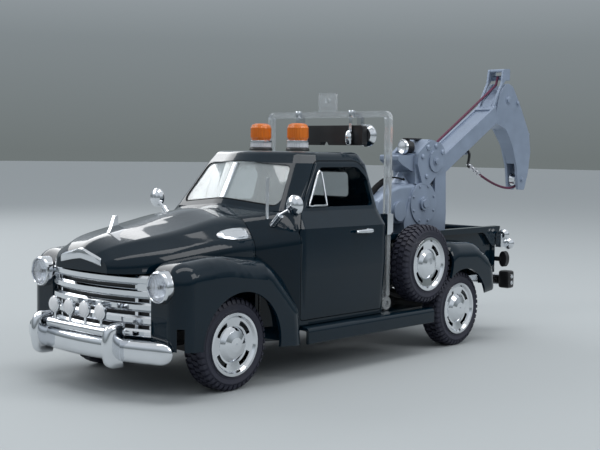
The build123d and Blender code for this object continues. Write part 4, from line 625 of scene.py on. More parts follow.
@dataclass(frozen=True)
class TreadedTyre:
    """A tyre with staggered middle lugs and shoulder lugs that run down its sides.

    A lug's foot takes the lug share of the room from one lug to the next. Its top, which lies
    within the top band of the radius, takes the top share of the foot. The slant is how far a lug
    turns on its way to the tyre's side, in degrees.
    """

    node: str
    body: str
    radius: float = 19.75
    half_width: float = 5.7
    rim_radius: float = 12.8
    bead_half: float = 5.0
    groove: float = 0.75
    lugs: int = 42
    lug_share: float = 0.66
    top_share: float = 0.86
    top_band: float = 0.4
    slant: float = 2.2
    segments: int = 96

    def middle(self) -> Vector:
        """Gives the tyre's centre from its solid."""
        low, high = DATUM.box_mm(self.node)
        return (low + high) / 2

    def carcass(self, draft: Draft, centre: Vector) -> None:
        """Adds the tyre's body, with the rings that stand on its sides.

        Args:
            draft: the draft that gets it.
            centre: the tyre's centre.
        """
        half = self.half_width
        base = self.radius - self.groove
        outer = [
            (self.rim_radius, self.bead_half), (self.rim_radius + 0.9, self.bead_half),
            (self.rim_radius + 1.3, half - 0.55), (self.rim_radius + 1.6, half - 0.3),
            (self.rim_radius + 1.9, half - 0.42), (self.rim_radius + 2.2, half - 0.28),
            (self.radius - 3.6, half - 0.12), (self.radius - 3.4, half - 0.02),
            (self.radius - 3.1, half - 0.02), (self.radius - 2.9, half - 0.2),
            (self.radius - 1.9, half - 0.75), (base - 0.3, half - 1.5), (base, half - 2.6),
        ]
        profile = outer + [(radius, -along) for radius, along in reversed(outer)]
        draft.lathe(profile, [tuple(centre)], LEFTWARD, self.segments, closed=True)

    def lug(self, draft: Draft, centre: Vector, angle: float, section: Sequence[Couple]) -> None:
        """Adds one lug.

        Args:
            draft: the draft that gets it.
            centre: the tyre's centre.
            angle: where it stands, in degrees.
            section: its outline across the tyre, as pairs of Y and radius.
        """
        half = 180.0 / self.lugs * self.lug_share
        sides = []
        for edge in (-half, half):
            verts = []
            for along, radius in section:
                share = 1.0 if radius < self.radius - self.top_band else self.top_share
                turn = math.radians(angle + edge * share
                                    + self.slant * abs(along) / self.half_width)
                place = centre + Vector((radius * math.sin(turn), along, radius * math.cos(turn)))
                verts.append(draft.mesh.verts.new(DATUM.at(place)))
            sides.append(verts)
        count = len(section)
        for index in range(count):
            after = (index + 1) % count
            draft.mesh.faces.new([sides[0][index], sides[0][after], sides[1][after], sides[1][index]])
        draft.mesh.faces.new(sides[0][::-1])
        draft.mesh.faces.new(sides[1])

    def build(self) -> Piece:
        """Makes the tyre and lets it stand for its solid.

        Returns:
            The tyre.
        """
        draft = Draft()
        centre = self.middle()
        self.carcass(draft, centre)
        half = self.half_width
        top = self.radius
        base = top - self.groove - 0.1
        step = 360.0 / self.lugs
        middle_row = [(0.25, base), (0.25, top), (2.9, top), (3.05, base)]
        shoulder = [
            (3.45, base), (3.45, top), (half - 1.5, top - 0.2), (half - 0.62, top - 0.95),
            (half - 0.08, top - 2.5), (half - 0.5, top - 2.6), (half - 1.5, base - 0.3),
        ]
        for index in range(self.lugs):
            for side in Side:
                sign = side.value
                offset = step / 2 if side is Side.LEFT else 0.0
                row = [(sign * along, radius) for along, radius in middle_row]
                self.lug(draft, centre, index * step + offset, row)
                row = [(sign * along, radius) for along, radius in shoulder]
                self.lug(draft, centre, index * step + offset + step / 2, row)
        tyre = draft.piece(self.node + "_treaded", self.body, RUBBER, 30)
        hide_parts(self.node)
        return tyre


# Rigging

@dataclass(frozen=True)
class HookChain:
    """A short chain from the slack line to a hook in the lug below the boom.

    The overlap is a link's length as a share of the links' spacing. The hook's eye is its length,
    its width and its wire's radius.
    """

    start: Point = (-90.2, 0.0, 88.6)
    end: Point = (-77.2, 0.0, 94.8)
    links: int = 6
    width: float = 2.0
    wire: float = 0.62
    overlap: float = 1.42
    loop_steps: int = 16
    hook_wire: float = 0.85
    eye: Triple = (2.4, 2.2, 0.6)
    hook_line: tuple[Point, ...] = (
        (-78.0, 0.0, 94.4), (-76.9, 0.0, 95.4), (-75.6, 1.2, 97.0), (-74.4, 2.4, 99.2),
        (-73.9, 2.7, 101.4), (-73.8, 1.7, 102.9), (-73.8, 0.0, 103.3), (-73.8, -1.7, 102.9),
        (-73.8, -2.6, 101.3), (-73.9, -2.7, 99.8),
    )

    def link_points(self, middle: Vector, along: Vector, across: Vector, length: float,
                    width: float) -> list[Vector]:
        """Gives the loop of one link: two straight sides and two round ends.

        Args:
            middle: the link's middle.
            along: the way that its straight sides run.
            across: the way from one side to the other.
            length: its length from bend to bend, at the wire's middle.
            width: its width from side to side, at the wire's middle.

        Returns:
            The loop's points in order.
        """
        straight = (length - width) / 2
        points = []
        for step in range(self.loop_steps):
            angle = 2 * math.pi * (step + 0.5) / self.loop_steps
            end = straight if math.cos(angle) > 0 else -straight
            points.append(middle + along * (end + width / 2 * math.cos(angle))
                          + across * (width / 2 * math.sin(angle)))
        return points

    def build(self) -> list[Piece]:
        """Makes the chain, which stands for the solid of both, and the black hook.

        Returns:
            The chain and the hook.
        """
        draft = Draft()
        run = Vector(self.end) - Vector(self.start)
        along = run.normalized()
        upright = along.cross(LEFTWARD)
        length = run.length / self.links * self.overlap
        for index in range(self.links):
            middle = Vector(self.start) + run * ((index + 0.5) / self.links)
            across = LEFTWARD if index % 2 else upright
            draft.tube(self.link_points(middle, along, across, length, self.width), self.wire, 8, True)
        chain = draft.piece("line_chain", "forearm", STEEL, 60)
        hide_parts("hook_chain")
        draft = Draft()
        draft.tube(smooth_line(self.hook_line, 4), self.hook_wire, 10)
        length, width, wire = self.eye
        eye = self.link_points(Vector(self.hook_line[0]), along, upright, length, width)
        draft.tube(eye, wire, 8, True)
        return [chain, draft.piece("line_hook", "forearm", BLACK, 60)]


@dataclass(frozen=True)
class SlackLine:
    """The slack end of the hoist line, from the forearm's sheave to the chain."""

    route: tuple[Couple, ...] = (
        (-133.3, 81.65), (-127.6, 79.9), (-118.5, 80.3), (-108.5, 82.3), (-98.5, 85.4), (-90.0, 88.7),
    )
    diameter: float = 1.5
    length: float = 44.8

    def build(self, fittings: Sequence[Piece]) -> Piece:
        """Makes the line as one smooth curve.

        Args:
            fittings: the pieces at its far end; not used.

        Returns:
            The curve object.
        """
        curve = bpy.data.curves.new("slack_line_cord", "CURVE")
        curve.dimensions = "3D"
        curve.bevel_depth = self.diameter * MM / 2
        curve.bevel_resolution = 4
        curve.resolution_u = 16
        curve.use_fill_caps = True
        spline = curve.splines.new("NURBS")
        spline.points.add(len(self.route) - 1)
        for point, (x, z) in zip(spline.points, self.route):
            point.co = (*DATUM.at((x, 0.0, z)), 1.0)
        spline.order_u = 3
        spline.use_endpoint_u = True
        line = add_object("slack_line_cord", curve)
        curve.materials.append(CORD.material())
        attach(line, "forearm")
        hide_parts("slack_line")
        start = DATUM.at((self.route[0][0], 0.0, self.route[0][1]))
        return line


# Cab, nose, bed and crane details

@dataclass(frozen=True)
class CabDressing:
    """Seals round the windows and the mirrors' glasses."""

    seal_radius: float = 0.55
    mirror: Point = (127.75, 46.0, 77.2)
    mirror_radius: float = 4.1

    def seals(self) -> Piece:
        """Lays a rubber seal along the edges of windshield and rear window.

        Returns:
            Both seals as one piece.
        """
        draft = Draft()
        for node, facing in (("windshield_glass", Vector((1, 0, 0.4))),
                             ("rear_window_glass", REARWARD)):
            draft.tube(rim_of(node, facing), self.seal_radius, 8, True)
        return draft.piece("window_seals", "truck", SEAL, 60)

    def mirror_glasses(self) -> Piece:
        """Sets a flat glass into the rear of each mirror.

        Returns:
            Both glasses as one piece.
        """
        edge = self.mirror_radius
        profile = [(0, 0), (edge - 0.3, 0), (edge, -0.12), (0, -0.12)]
        draft = Draft().lathe(profile, pair(self.mirror), FORWARD)
        return draft.piece("mirror_glasses", "truck", CHROME)

    def build(self) -> list[Piece]:
        """Makes the cab's small pieces."""
        return [self.seals(), self.mirror_glasses()]


@dataclass(frozen=True)
class NoseDressing:
    """What the lamps at the nose are made of: dishes, bulbs and ribbed glasses."""

    headlamp: Point = (200.6, 39.8, 46.2)
    lens_radius: float = 5.55
    spot: Point = (210.1, 0.0, 34.9)
    spot_spacing: float = 10.4
    spot_radius: float = 3.1

    def dishes(self) -> Piece:
        """Makes the bright dish behind each headlamp's glass, with a cap round its bulb.

        Returns:
            Both dishes as one piece.
        """
        rim = self.lens_radius
        dish = [(0, -3.4), (rim, -3.4), (rim, 0.1), (rim - 0.25, 0.1), (rim - 0.6, -0.9),
                (rim - 1.7, -1.9), (rim - 3.2, -2.6), (0, -2.8)]
        cap = [(0, -2.8), (1.5, -2.8), (1.5, -1.9), (1.1, -1.6), (0, -1.5)]
        draft = Draft().lathe(dish, pair(self.headlamp), FORWARD)
        draft.lathe(cap, pair(self.headlamp), FORWARD, 24)
        return draft.piece("headlamp_dishes", "truck", DISH)

    def bulbs(self) -> Piece:
        """Makes the dark tip of each bulb.

        Returns:
            Both tips as one piece.
        """
        profile = [(0, -1.5), (0.8, -1.5), (0.95, -0.8), (0.6, -0.2), (0, 0)]
        draft = Draft().lathe(profile, pair(self.headlamp), FORWARD, 20)
        return draft.piece("headlamp_bulbs", "truck", BLACK)

    def glasses(self) -> Piece:
        """Makes the thin domed glasses that stand for the lens solids.

        Returns:
            Both glasses as one piece.
        """
        rim = self.lens_radius
        profile = [(0, 1.25), (rim * 0.45, 1.1), (rim * 0.8, 0.65), (rim - 0.3, 0.15),
                   (rim, 0.15), (rim, 0.35), (rim * 0.8, 1.0), (rim * 0.45, 1.5), (0, 1.7)]
        draft = Draft().lathe(profile, pair(self.headlamp), FORWARD)
        glasses = draft.piece("headlamp_glasses", "truck", LENS)
        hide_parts("headlamp_lenses")
        return glasses

    def spot_lenses(self) -> Piece:
        """Makes the milky lens on each of the four lamps above the bumper.

        Returns:
            The four lenses as one piece.
        """
        x, _, z = self.spot
        edge = self.spot_radius
        profile = [(0, 0.7), (edge, 0.7), (edge, 1.1), (edge * 0.85, 1.6), (edge * 0.5, 2.0), (0, 2.15)]
        places = [(x, (index - 1.5) * self.spot_spacing, z) for index in range(4)]
        return Draft().lathe(profile, places, FORWARD).piece("spot_lenses", "truck", MILKY)

    def build(self) -> list[Piece]:
        """Makes the nose's pieces."""
        return [self.dishes(), self.bulbs(), self.glasses(), self.spot_lenses()]


@dataclass(frozen=True)
class BumperDressing:
    """The front bumper's round bar, its two guards and its brackets.

    A power says how square a section is: the smaller, the squarer. A least value keeps the last
    ring at an end from shrinking to nothing.
    """

    centre_x: float = 212.5
    end_x: float = 203.0
    half_width: float = 47.2
    middle_z: float = 20.2
    half_height: float = 4.6
    half_depth: float = 2.9
    end_round: float = 5.0
    end_power: float = 2.6
    end_gap: float = 0.02
    least_end: float = 0.0004
    bar_power: float = 0.8
    guard_y: float = 24.3
    guard_half: float = 2.3
    guard_low: float = 12.9
    guard_high: float = 31.3
    guard_front: float = 216.11
    guard_round: float = 2.6
    guard_depth: float = 4.4
    guard_bulge: float = 2.4
    guard_waist: float = 0.55
    guard_power: float = 0.62
    least_swell: float = 0.01
    bar_steps: int = 64
    bar_corners: int = 28
    guard_steps: int = 24
    guard_corners: int = 24
    bracket: tuple[Point, Point] = ((191.2, 18.35, 19.0), (209.0, 20.3, 22.2))

    def front(self, y: float) -> float:
        """Gives the bow's front X at a Y.

        Args:
            y: the place across the truck.

        Returns:
            The X of the bar's front there.
        """
        sagitta = self.centre_x - self.end_x
        radius = (self.half_width ** 2 + sagitta ** 2) / (2 * sagitta)
        return self.centre_x - radius + math.sqrt(radius ** 2 - y ** 2)

    @staticmethod
    def rounded(angle: float, power: float) -> Couple:
        """Gives a point of a rounded square of half size 1, squarer for a smaller power."""
        across, up = math.cos(angle), math.sin(angle)
        return (math.copysign(abs(across) ** power, across), math.copysign(abs(up) ** power, up))

    def bar(self, draft: Draft) -> None:
        """Adds the bowed bar, whose ends round off in every direction.

        Args:
            draft: the draft that gets it.
        """
        rings = []
        for step in range(self.bar_steps + 1):
            y = -math.cos(math.pi * step / self.bar_steps) * (self.half_width - self.end_gap)
            past = max(0.0, (abs(y) - self.half_width + self.end_round) / self.end_round)
            share = math.sqrt(max(self.least_end, 1 - past ** self.end_power))
            centre = self.front(y) - self.half_depth
            ring = []
            for turn in range(self.bar_corners):
                ahead, up = self.rounded(2 * math.pi * turn / self.bar_corners, self.bar_power)
                ring.append((centre + self.half_depth * share * ahead, y,
                             self.middle_z + self.half_height * share * up))
            rings.append(ring)
        draft.loft(rings)

    def guard(self, draft: Draft, y: float) -> None:
        """Adds an upright guard that bulges forward and has round ends.

        Args:
            draft: the draft that gets it.
            y: the guard's middle.
        """
        back = self.front(y) - self.guard_depth
        rings = []
        for step in range(self.guard_steps + 1):
            share = (1 - math.cos(math.pi * step / self.guard_steps)) / 2
            z = self.guard_low + (self.guard_high - self.guard_low) * share
            inside = min(1.0, min(z - self.guard_low, self.guard_high - z) / self.guard_round)
            swell = math.sqrt(max(self.least_swell, 1 - (1 - inside) ** 2))
            front = self.guard_front - self.guard_bulge * (2 * share - 1) ** 2
            reach = (front - back) / 2 * (self.guard_waist + (1 - self.guard_waist) * swell)
            ring = []
            for turn in range(self.guard_corners):
                ahead, across = self.rounded(2 * math.pi * turn / self.guard_corners,
                                             self.guard_power)
                ring.append((back + reach + reach * ahead, y + self.guard_half * swell * across, z))
            rings.append(ring)
        draft.loft(rings)

    def build(self) -> Piece:
        """Makes the bumper as one piece.

        Returns:
            The bumper, which stands for its solid.
        """
        draft = Draft()
        self.bar(draft)
        for side in Side:
            self.guard(draft, side.value * self.guard_y)
            draft.plate(*side.box(*self.bracket), 0.2)
        bumper = draft.piece("front_bumper_chrome", "truck", CHROME, 50)
        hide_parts("front_bumper")
        return bumper


@dataclass(frozen=True)
class HoodDressing:
    """The bright plates that hug the hood's nose and sides, and the ornament.

    Each column of a plate is its place across, its lower edge and its upper edge. The columns are
    found from a place ahead of the nose and from one beside the hood.
    """

    nose: tuple[Triple, ...] = (
        (-13.6, 53.2, 53.8), (-13.0, 53.2, 56.2), (-10.0, 53.8, 57.2), (-6.0, 54.6, 58.2),
        (-2.0, 55.2, 59.2), (0.0, 55.4, 59.5), (2.0, 55.2, 59.2), (6.0, 54.6, 58.2),
        (10.0, 53.8, 57.2), (13.0, 53.2, 56.2), (13.6, 53.2, 53.8),
    )
    wing: tuple[Triple, ...] = (
        (139.8, 63.4, 65.8), (140.6, 62.6, 66.6), (144.0, 62.3, 66.9), (148.0, 62.2, 66.8),
        (152.0, 62.3, 66.4), (155.5, 62.6, 65.8), (158.0, 63.0, 65.0), (158.8, 63.4, 64.4),
    )
    thickness: float = 0.8
    edge_share: float = 0.4
    sink: float = 0.3
    rows: int = 6
    ahead_x: float = 240.0
    beside_y: float = 60.0
    ornament: tuple[Point, Point] = ((183.0, -2.0, 60.0), (197.0, 2.0, 75.0))

    def drape(self, draft: Draft, columns: Sequence[Triple],
              source: Callable[[float, float], Point], direction: Vector) -> None:
        """Lays a plate with thin edges on the hood's surface.

        Args:
            draft: the draft that gets it.
            columns: the plate's columns.
            source: gives the place that looks at a column's place across and its height.
            direction: the way that place looks.
        """
        work = bmesh.new()
        work.from_mesh(frame["nodes"]["hood"].data)
        tree = BVHTree.FromBMesh(work)
        work.free()
        grids = ([], [])
        for column, (across, low, high) in enumerate(columns):
            strips = ([], [])
            for row in range(self.rows + 1):
                share = row / self.rows
                origin = DATUM.at(source(across, low + (high - low) * share))
                hit, normal, _, _ = tree.ray_cast(origin, direction)
                if hit is None:
                    raise ValueError("a plate's column misses the hood")
                if normal.dot(direction) > 0:
                    normal = -normal
                inner = 0 < column < len(columns) - 1 and 0 < row < self.rows
                rise = self.thickness if inner else self.thickness * self.edge_share
                strips[0].append(draft.mesh.verts.new(hit + normal * rise * MM))
                strips[1].append(draft.mesh.verts.new(hit - normal * self.sink * MM))
            grids[0].append(strips[0])
            grids[1].append(strips[1])
        self.skin(draft, *grids)

    def skin(self, draft: Draft, outer: list[list[Corner]], inner: list[list[Corner]]) -> None:
        """Makes the faces of a plate from its outer and inner grids of points.

        Args:
            draft: the draft that gets them.
            outer: the columns of outer points.
            inner: the columns of inner points.
        """
        columns = len(outer)
        rows = len(outer[0])
        for column in range(columns - 1):
            for row in range(rows - 1):
                for grid in (outer, inner):
                    draft.mesh.faces.new([grid[column][row], grid[column + 1][row],
                                          grid[column + 1][row + 1], grid[column][row + 1]])
        border = [(column, 0) for column in range(columns)]
        border += [(columns - 1, row) for row in range(1, rows)]
        border += [(column, rows - 1) for column in range(columns - 2, -1, -1)]
        border += [(0, row) for row in range(rows - 2, 0, -1)]
        for here, after in zip(border, border[1:] + border[:1]):
            draft.mesh.faces.new([outer[here[0]][here[1]], outer[after[0]][after[1]],
                                  inner[after[0]][after[1]], inner[here[0]][here[1]]])

    def build(self) -> Piece:
        """Makes the plates and keeps the solid's ornament, as one piece for the trim.

        Returns:
            The piece, which stands for the trim's solids.
        """
        draft = Draft()
        draft.mesh.from_mesh(frame["nodes"]["hood_trim"].data)
        low, high = (DATUM.at(corner) for corner in self.ornament)
        outside = [vert for vert in draft.mesh.verts
                   if not all(low[axis] <= vert.co[axis] <= high[axis] for axis in range(3))]
        bmesh.ops.delete(draft.mesh, geom=outside, context="VERTS")
        self.drape(draft, self.nose, lambda y, z: (self.ahead_x, y, z), REARWARD)
        for side in Side:
            self.drape(draft, self.wing, lambda x, z: side.place((x, self.beside_y, z)),
                       -side.outward())
        trim = draft.piece("hood_brightwork", "hood", CHROME, 40)
        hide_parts("hood_trim")
        return trim


@dataclass(frozen=True)
class RoofDressing:
    """Feet and bands of the beacons, and the drop-shaped lamps that hang from the hoop."""

    beacon: Point = (90.0, 12.4, 101.15)
    beacon_radius: float = 5.2
    drop: Point = (58.2, 18.0, 108.4)
    rail_front: float = 55.15
    rail: Couple = (118.6, 121.5)

    def feet(self) -> Piece:
        """Makes the black foot round each beacon's base.

        Returns:
            Both feet as one piece.
        """
        inner = self.beacon_radius - 0.38
        profile = [(inner, 0), (inner + 0.9, 0), (inner + 0.9, 0.9), (inner + 0.5, 1.5), (inner, 1.5)]
        draft = Draft().lathe(profile, pair(self.beacon), UPWARD, 48, closed=True)
        return draft.piece("beacon_feet", "truck", BLACK)

    def bands(self) -> Piece:
        """Makes the bright band below each beacon's dome.

        Returns:
            Both bands as one piece.
        """
        inner = self.beacon_radius - 0.1
        profile = [(inner, 3.9), (inner + 0.3, 4.0), (inner + 0.35, 4.5), (inner + 0.3, 5.0),
                   (inner - 0.4, 5.2), (inner - 0.4, 3.9)]
        draft = Draft().lathe(profile, pair(self.beacon), UPWARD, 48, closed=True)
        return draft.piece("beacon_bands", "truck", CHROME)

    def drops(self) -> Piece:
        """Makes the two straps over the hoop's rail, each with a drop-shaped lamp.

        Returns:
            Straps and lamps as one piece.
        """
        draft = Draft()
        x, y, z = self.drop
        low, high = self.rail
        for side in Side:
            draft.plate(*side.box((x - 1.6, y - 0.9, z + 2.6), (x - 0.9, y + 0.9, high)), 0.2)
            draft.plate(*side.box((self.rail_front, y - 1.3, low - 0.3),
                                  (x - 0.9, y + 1.3, high + 0.5)), 0.3)
        draft.lathe([(0, -3.8), (0.9, -3.5), (1.6, -2.5), (1.95, -0.8), (1.85, 1.0), (1.3, 2.6),
                     (0.7, 3.4), (0, 3.6)], pair(self.drop), UPWARD, 28)
        return draft.piece("hoop_drops", "truck", CHROME)

    def build(self) -> list[Piece]:
        """Makes the roof's small pieces."""
        return [self.feet(), self.bands(), self.drops()]


@dataclass(frozen=True)
class DoorDressing:
    """The small window's frame and the handle of one door.

    The frame's points are X and Z, and the belt is the Z and Y where the window's lean begins. The
    handle is its rear X, its front X and its Z. The knob is its X from the handle's rear, and its Y.
    """

    side: Side
    frame_points: tuple[Couple, ...] = (
        (113.0, 76.3), (106.8, 84.4), (102.0, 90.9), (100.6, 92.0), (99.4, 91.2), (99.6, 87.0),
        (100.6, 76.3),
    )
    frame_radius: float = 0.5
    belt: Couple = (75.6, 41.05)
    lean: float = 0.318
    handle: Triple = (75.6, 88.0, 64.0)
    handle_y: float = 48.3
    knob: Couple = (2.0, 46.6)
    steps: int = 6

    def build(self) -> Piece:
        """Makes both as one piece that stands for the door's trim.

        Returns:
            The door's trim.
        """
        draft = Draft()
        sign = self.side.value
        low, out = self.belt
        loop = []
        corners = [(x, sign * (out - (z - low) * self.lean), z) for x, z in self.frame_points]
        for first, second in zip(corners, corners[1:] + corners[:1]):
            for step in range(self.steps):
                loop.append(Vector(first).lerp(Vector(second), step / self.steps))
        draft.tube(loop, self.frame_radius, 8, True)
        rear, front, z = self.handle
        reach = front - rear
        draft.lathe([(0, 0), (0.75, 0.15), (1.15, 0.8), (1.15, 2.6), (0.95, 5.0), (0.75, reach - 1),
                     (0.55, reach - 0.3), (0, reach)], [(rear, sign * self.handle_y, z)], FORWARD, 20)
        draft.lathe([(0, 0), (1.2, 0), (1.2, 0.4), (0.8, 0.7), (0.7, 1.9), (0, 1.9)],
                    [(rear + self.knob[0], sign * self.knob[1], z)], self.side.outward(), 20)
        name = "door_" + self.side.name.lower()
        trim = draft.piece(name + "_brightwork", name, CHROME)
        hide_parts(name + "_trim")
        return trim


@dataclass(frozen=True)
class CabinDressing:
    """Gauges, knobs and the lid on the dashboard. A gauge is its Y and its radius."""

    face_x: float = 110.3
    gauge_z: float = 65.6
    gauges: tuple[Couple, ...] = ((18.0, 3.4), (10.0, 2.2), (26.0, 2.2))
    knobs: tuple[float, ...] = (-6.0, -1.0, 4.0)
    knob_drop: float = 3.2
    lid: Couple = (-29.0, -13.0)
    lid_handle: Couple = (-24.0, -18.0)

    def rims(self) -> Piece:
        """Makes the bright rims, knobs and handle of the lid.

        Returns:
            The bright parts as one piece.
        """
        draft = Draft()
        for y, radius in self.gauges:
            draft.lathe([(radius, -0.3), (radius + 0.45, -0.3), (radius + 0.4, 0.5), (radius, 0.6)],
                        [(self.face_x, y, self.gauge_z)], REARWARD, 32, closed=True)
        draft.lathe([(0, -0.3), (0.45, -0.3), (0.45, 0.8), (0.9, 0.9), (0.9, 1.6), (0, 1.8)],
                    [(self.face_x, y, self.gauge_z - self.knob_drop) for y in self.knobs], REARWARD, 16)
        right, left = self.lid_handle
        draft.plate((self.face_x - 0.9, right, self.gauge_z + 1.4),
                    (self.face_x + 0.3, left, self.gauge_z + 2.1))
        return draft.piece("dash_brightwork", "truck", CHROME)

    def dials(self) -> Piece:
        """Makes the dark faces of the gauges and the lid's panel.

        Returns:
            The dark parts as one piece.
        """
        draft = Draft()
        for y, radius in self.gauges:
            draft.lathe([(0, -0.3), (radius + 0.1, -0.3), (radius + 0.1, 0.1), (0, 0.25)],
                        [(self.face_x, y, self.gauge_z)], REARWARD, 32)
        right, left = self.lid
        draft.plate((self.face_x - 0.5, right, self.gauge_z - 3.4),
                    (self.face_x + 0.4, left, self.gauge_z + 2.6), 0.4)
        return draft.piece("dash_dials", "truck", BLACK)

    def build(self) -> list[Piece]:
        """Makes the dashboard's pieces."""
        return [self.rims(), self.dials()]


@dataclass(frozen=True)
class RearDressing:
    """Black blocks of painted dark reflection on the rear bumper's ends, bolts, lamp lenses and the ribs
    of the bed's floor.
    """

    painted_dark_low: Point = (-63.2, 35.4, 25.0)
    painted_dark_high: Point = (-56.9, 42.6, 35.0)
    bolt_rows: Couple = (28.2, 31.8)
    rear_bolt: Couple = (39.0, 30.0)
    lamps: tuple[Point, ...] = ((-51.0, 41.2, 56.0), (-56.4, 41.2, 50.6))
    lamp_back: float = 3.2
    rib_rows: tuple[float, ...] = (15.0, 19.0, 23.0, 27.0, 31.0)
    rib_span: Couple = (-49.0, 54.0)
    rib_half: float = 0.7
    rib_height: float = 0.5
    floor_z: float = 36.0

    def painted_dark_blocks(self) -> Piece:
        """Makes the black blocks over the bumper's ends, a painted dark reflection of the chrome bumper.

        Returns:
            Both pads as one piece.
        """
        draft = Draft()
        for side in Side:
            # Black blocks that paint the dark reflection in the chrome bumper's ends.
            draft.plate(*side.box(self.painted_dark_low, self.painted_dark_high), 1.3)
        return draft.piece("rear_painted_dark_reflection", "truck", BLACK)

    def bolts(self) -> Piece:
        """Makes the bright bolts on the black blocks of painted dark reflection.

        Returns:
            All the bolts as one piece.
        """
        draft = Draft()
        x = (self.painted_dark_low[0] + self.painted_dark_high[0]) / 2
        for side in Side:
            for z in self.bolt_rows:
                draft.bolt(side.place((x, self.painted_dark_high[1], z)), side.outward(), 1.7, 0.6)
            draft.bolt(side.place((self.painted_dark_low[0], *self.rear_bolt)), REARWARD, 2.2, 0.7)
        return draft.piece("rear_bolts", "truck", CHROME)

    def lenses(self) -> Piece:
        """Makes the milky lens on the rear of each round lamp.

        Returns:
            All the lenses as one piece.
        """
        back = self.lamp_back
        profile = [(0, 2.6), (2.05, 2.6), (2.05, back - 0.1), (1.6, back + 0.3), (0, back + 0.55)]
        places = [side.place(lamp) for side in Side for lamp in self.lamps]
        draft = Draft().lathe(profile, places, REARWARD, 28)
        return draft.piece("rear_lamp_lenses", "truck", MILKY)

    def ribs(self) -> Piece:
        """Makes the pressed ribs along the bed's floor, beside the crane.

        Returns:
            All the ribs as one piece.
        """
        draft = Draft()
        rear, front = self.rib_span
        for row in self.rib_rows:
            low = (rear, row - self.rib_half, self.floor_z - 0.2)
            high = (front, row + self.rib_half, self.floor_z + self.rib_height)
            for side in Side:
                draft.plate(*side.box(low, high), 0.3)
        return draft.piece("bed_ribs", "truck", PAINT)

    def build(self) -> list[Piece]:
        """Makes the rear end's pieces."""
        return [self.painted_dark_blocks(), self.bolts(), self.lenses(), self.ribs()]


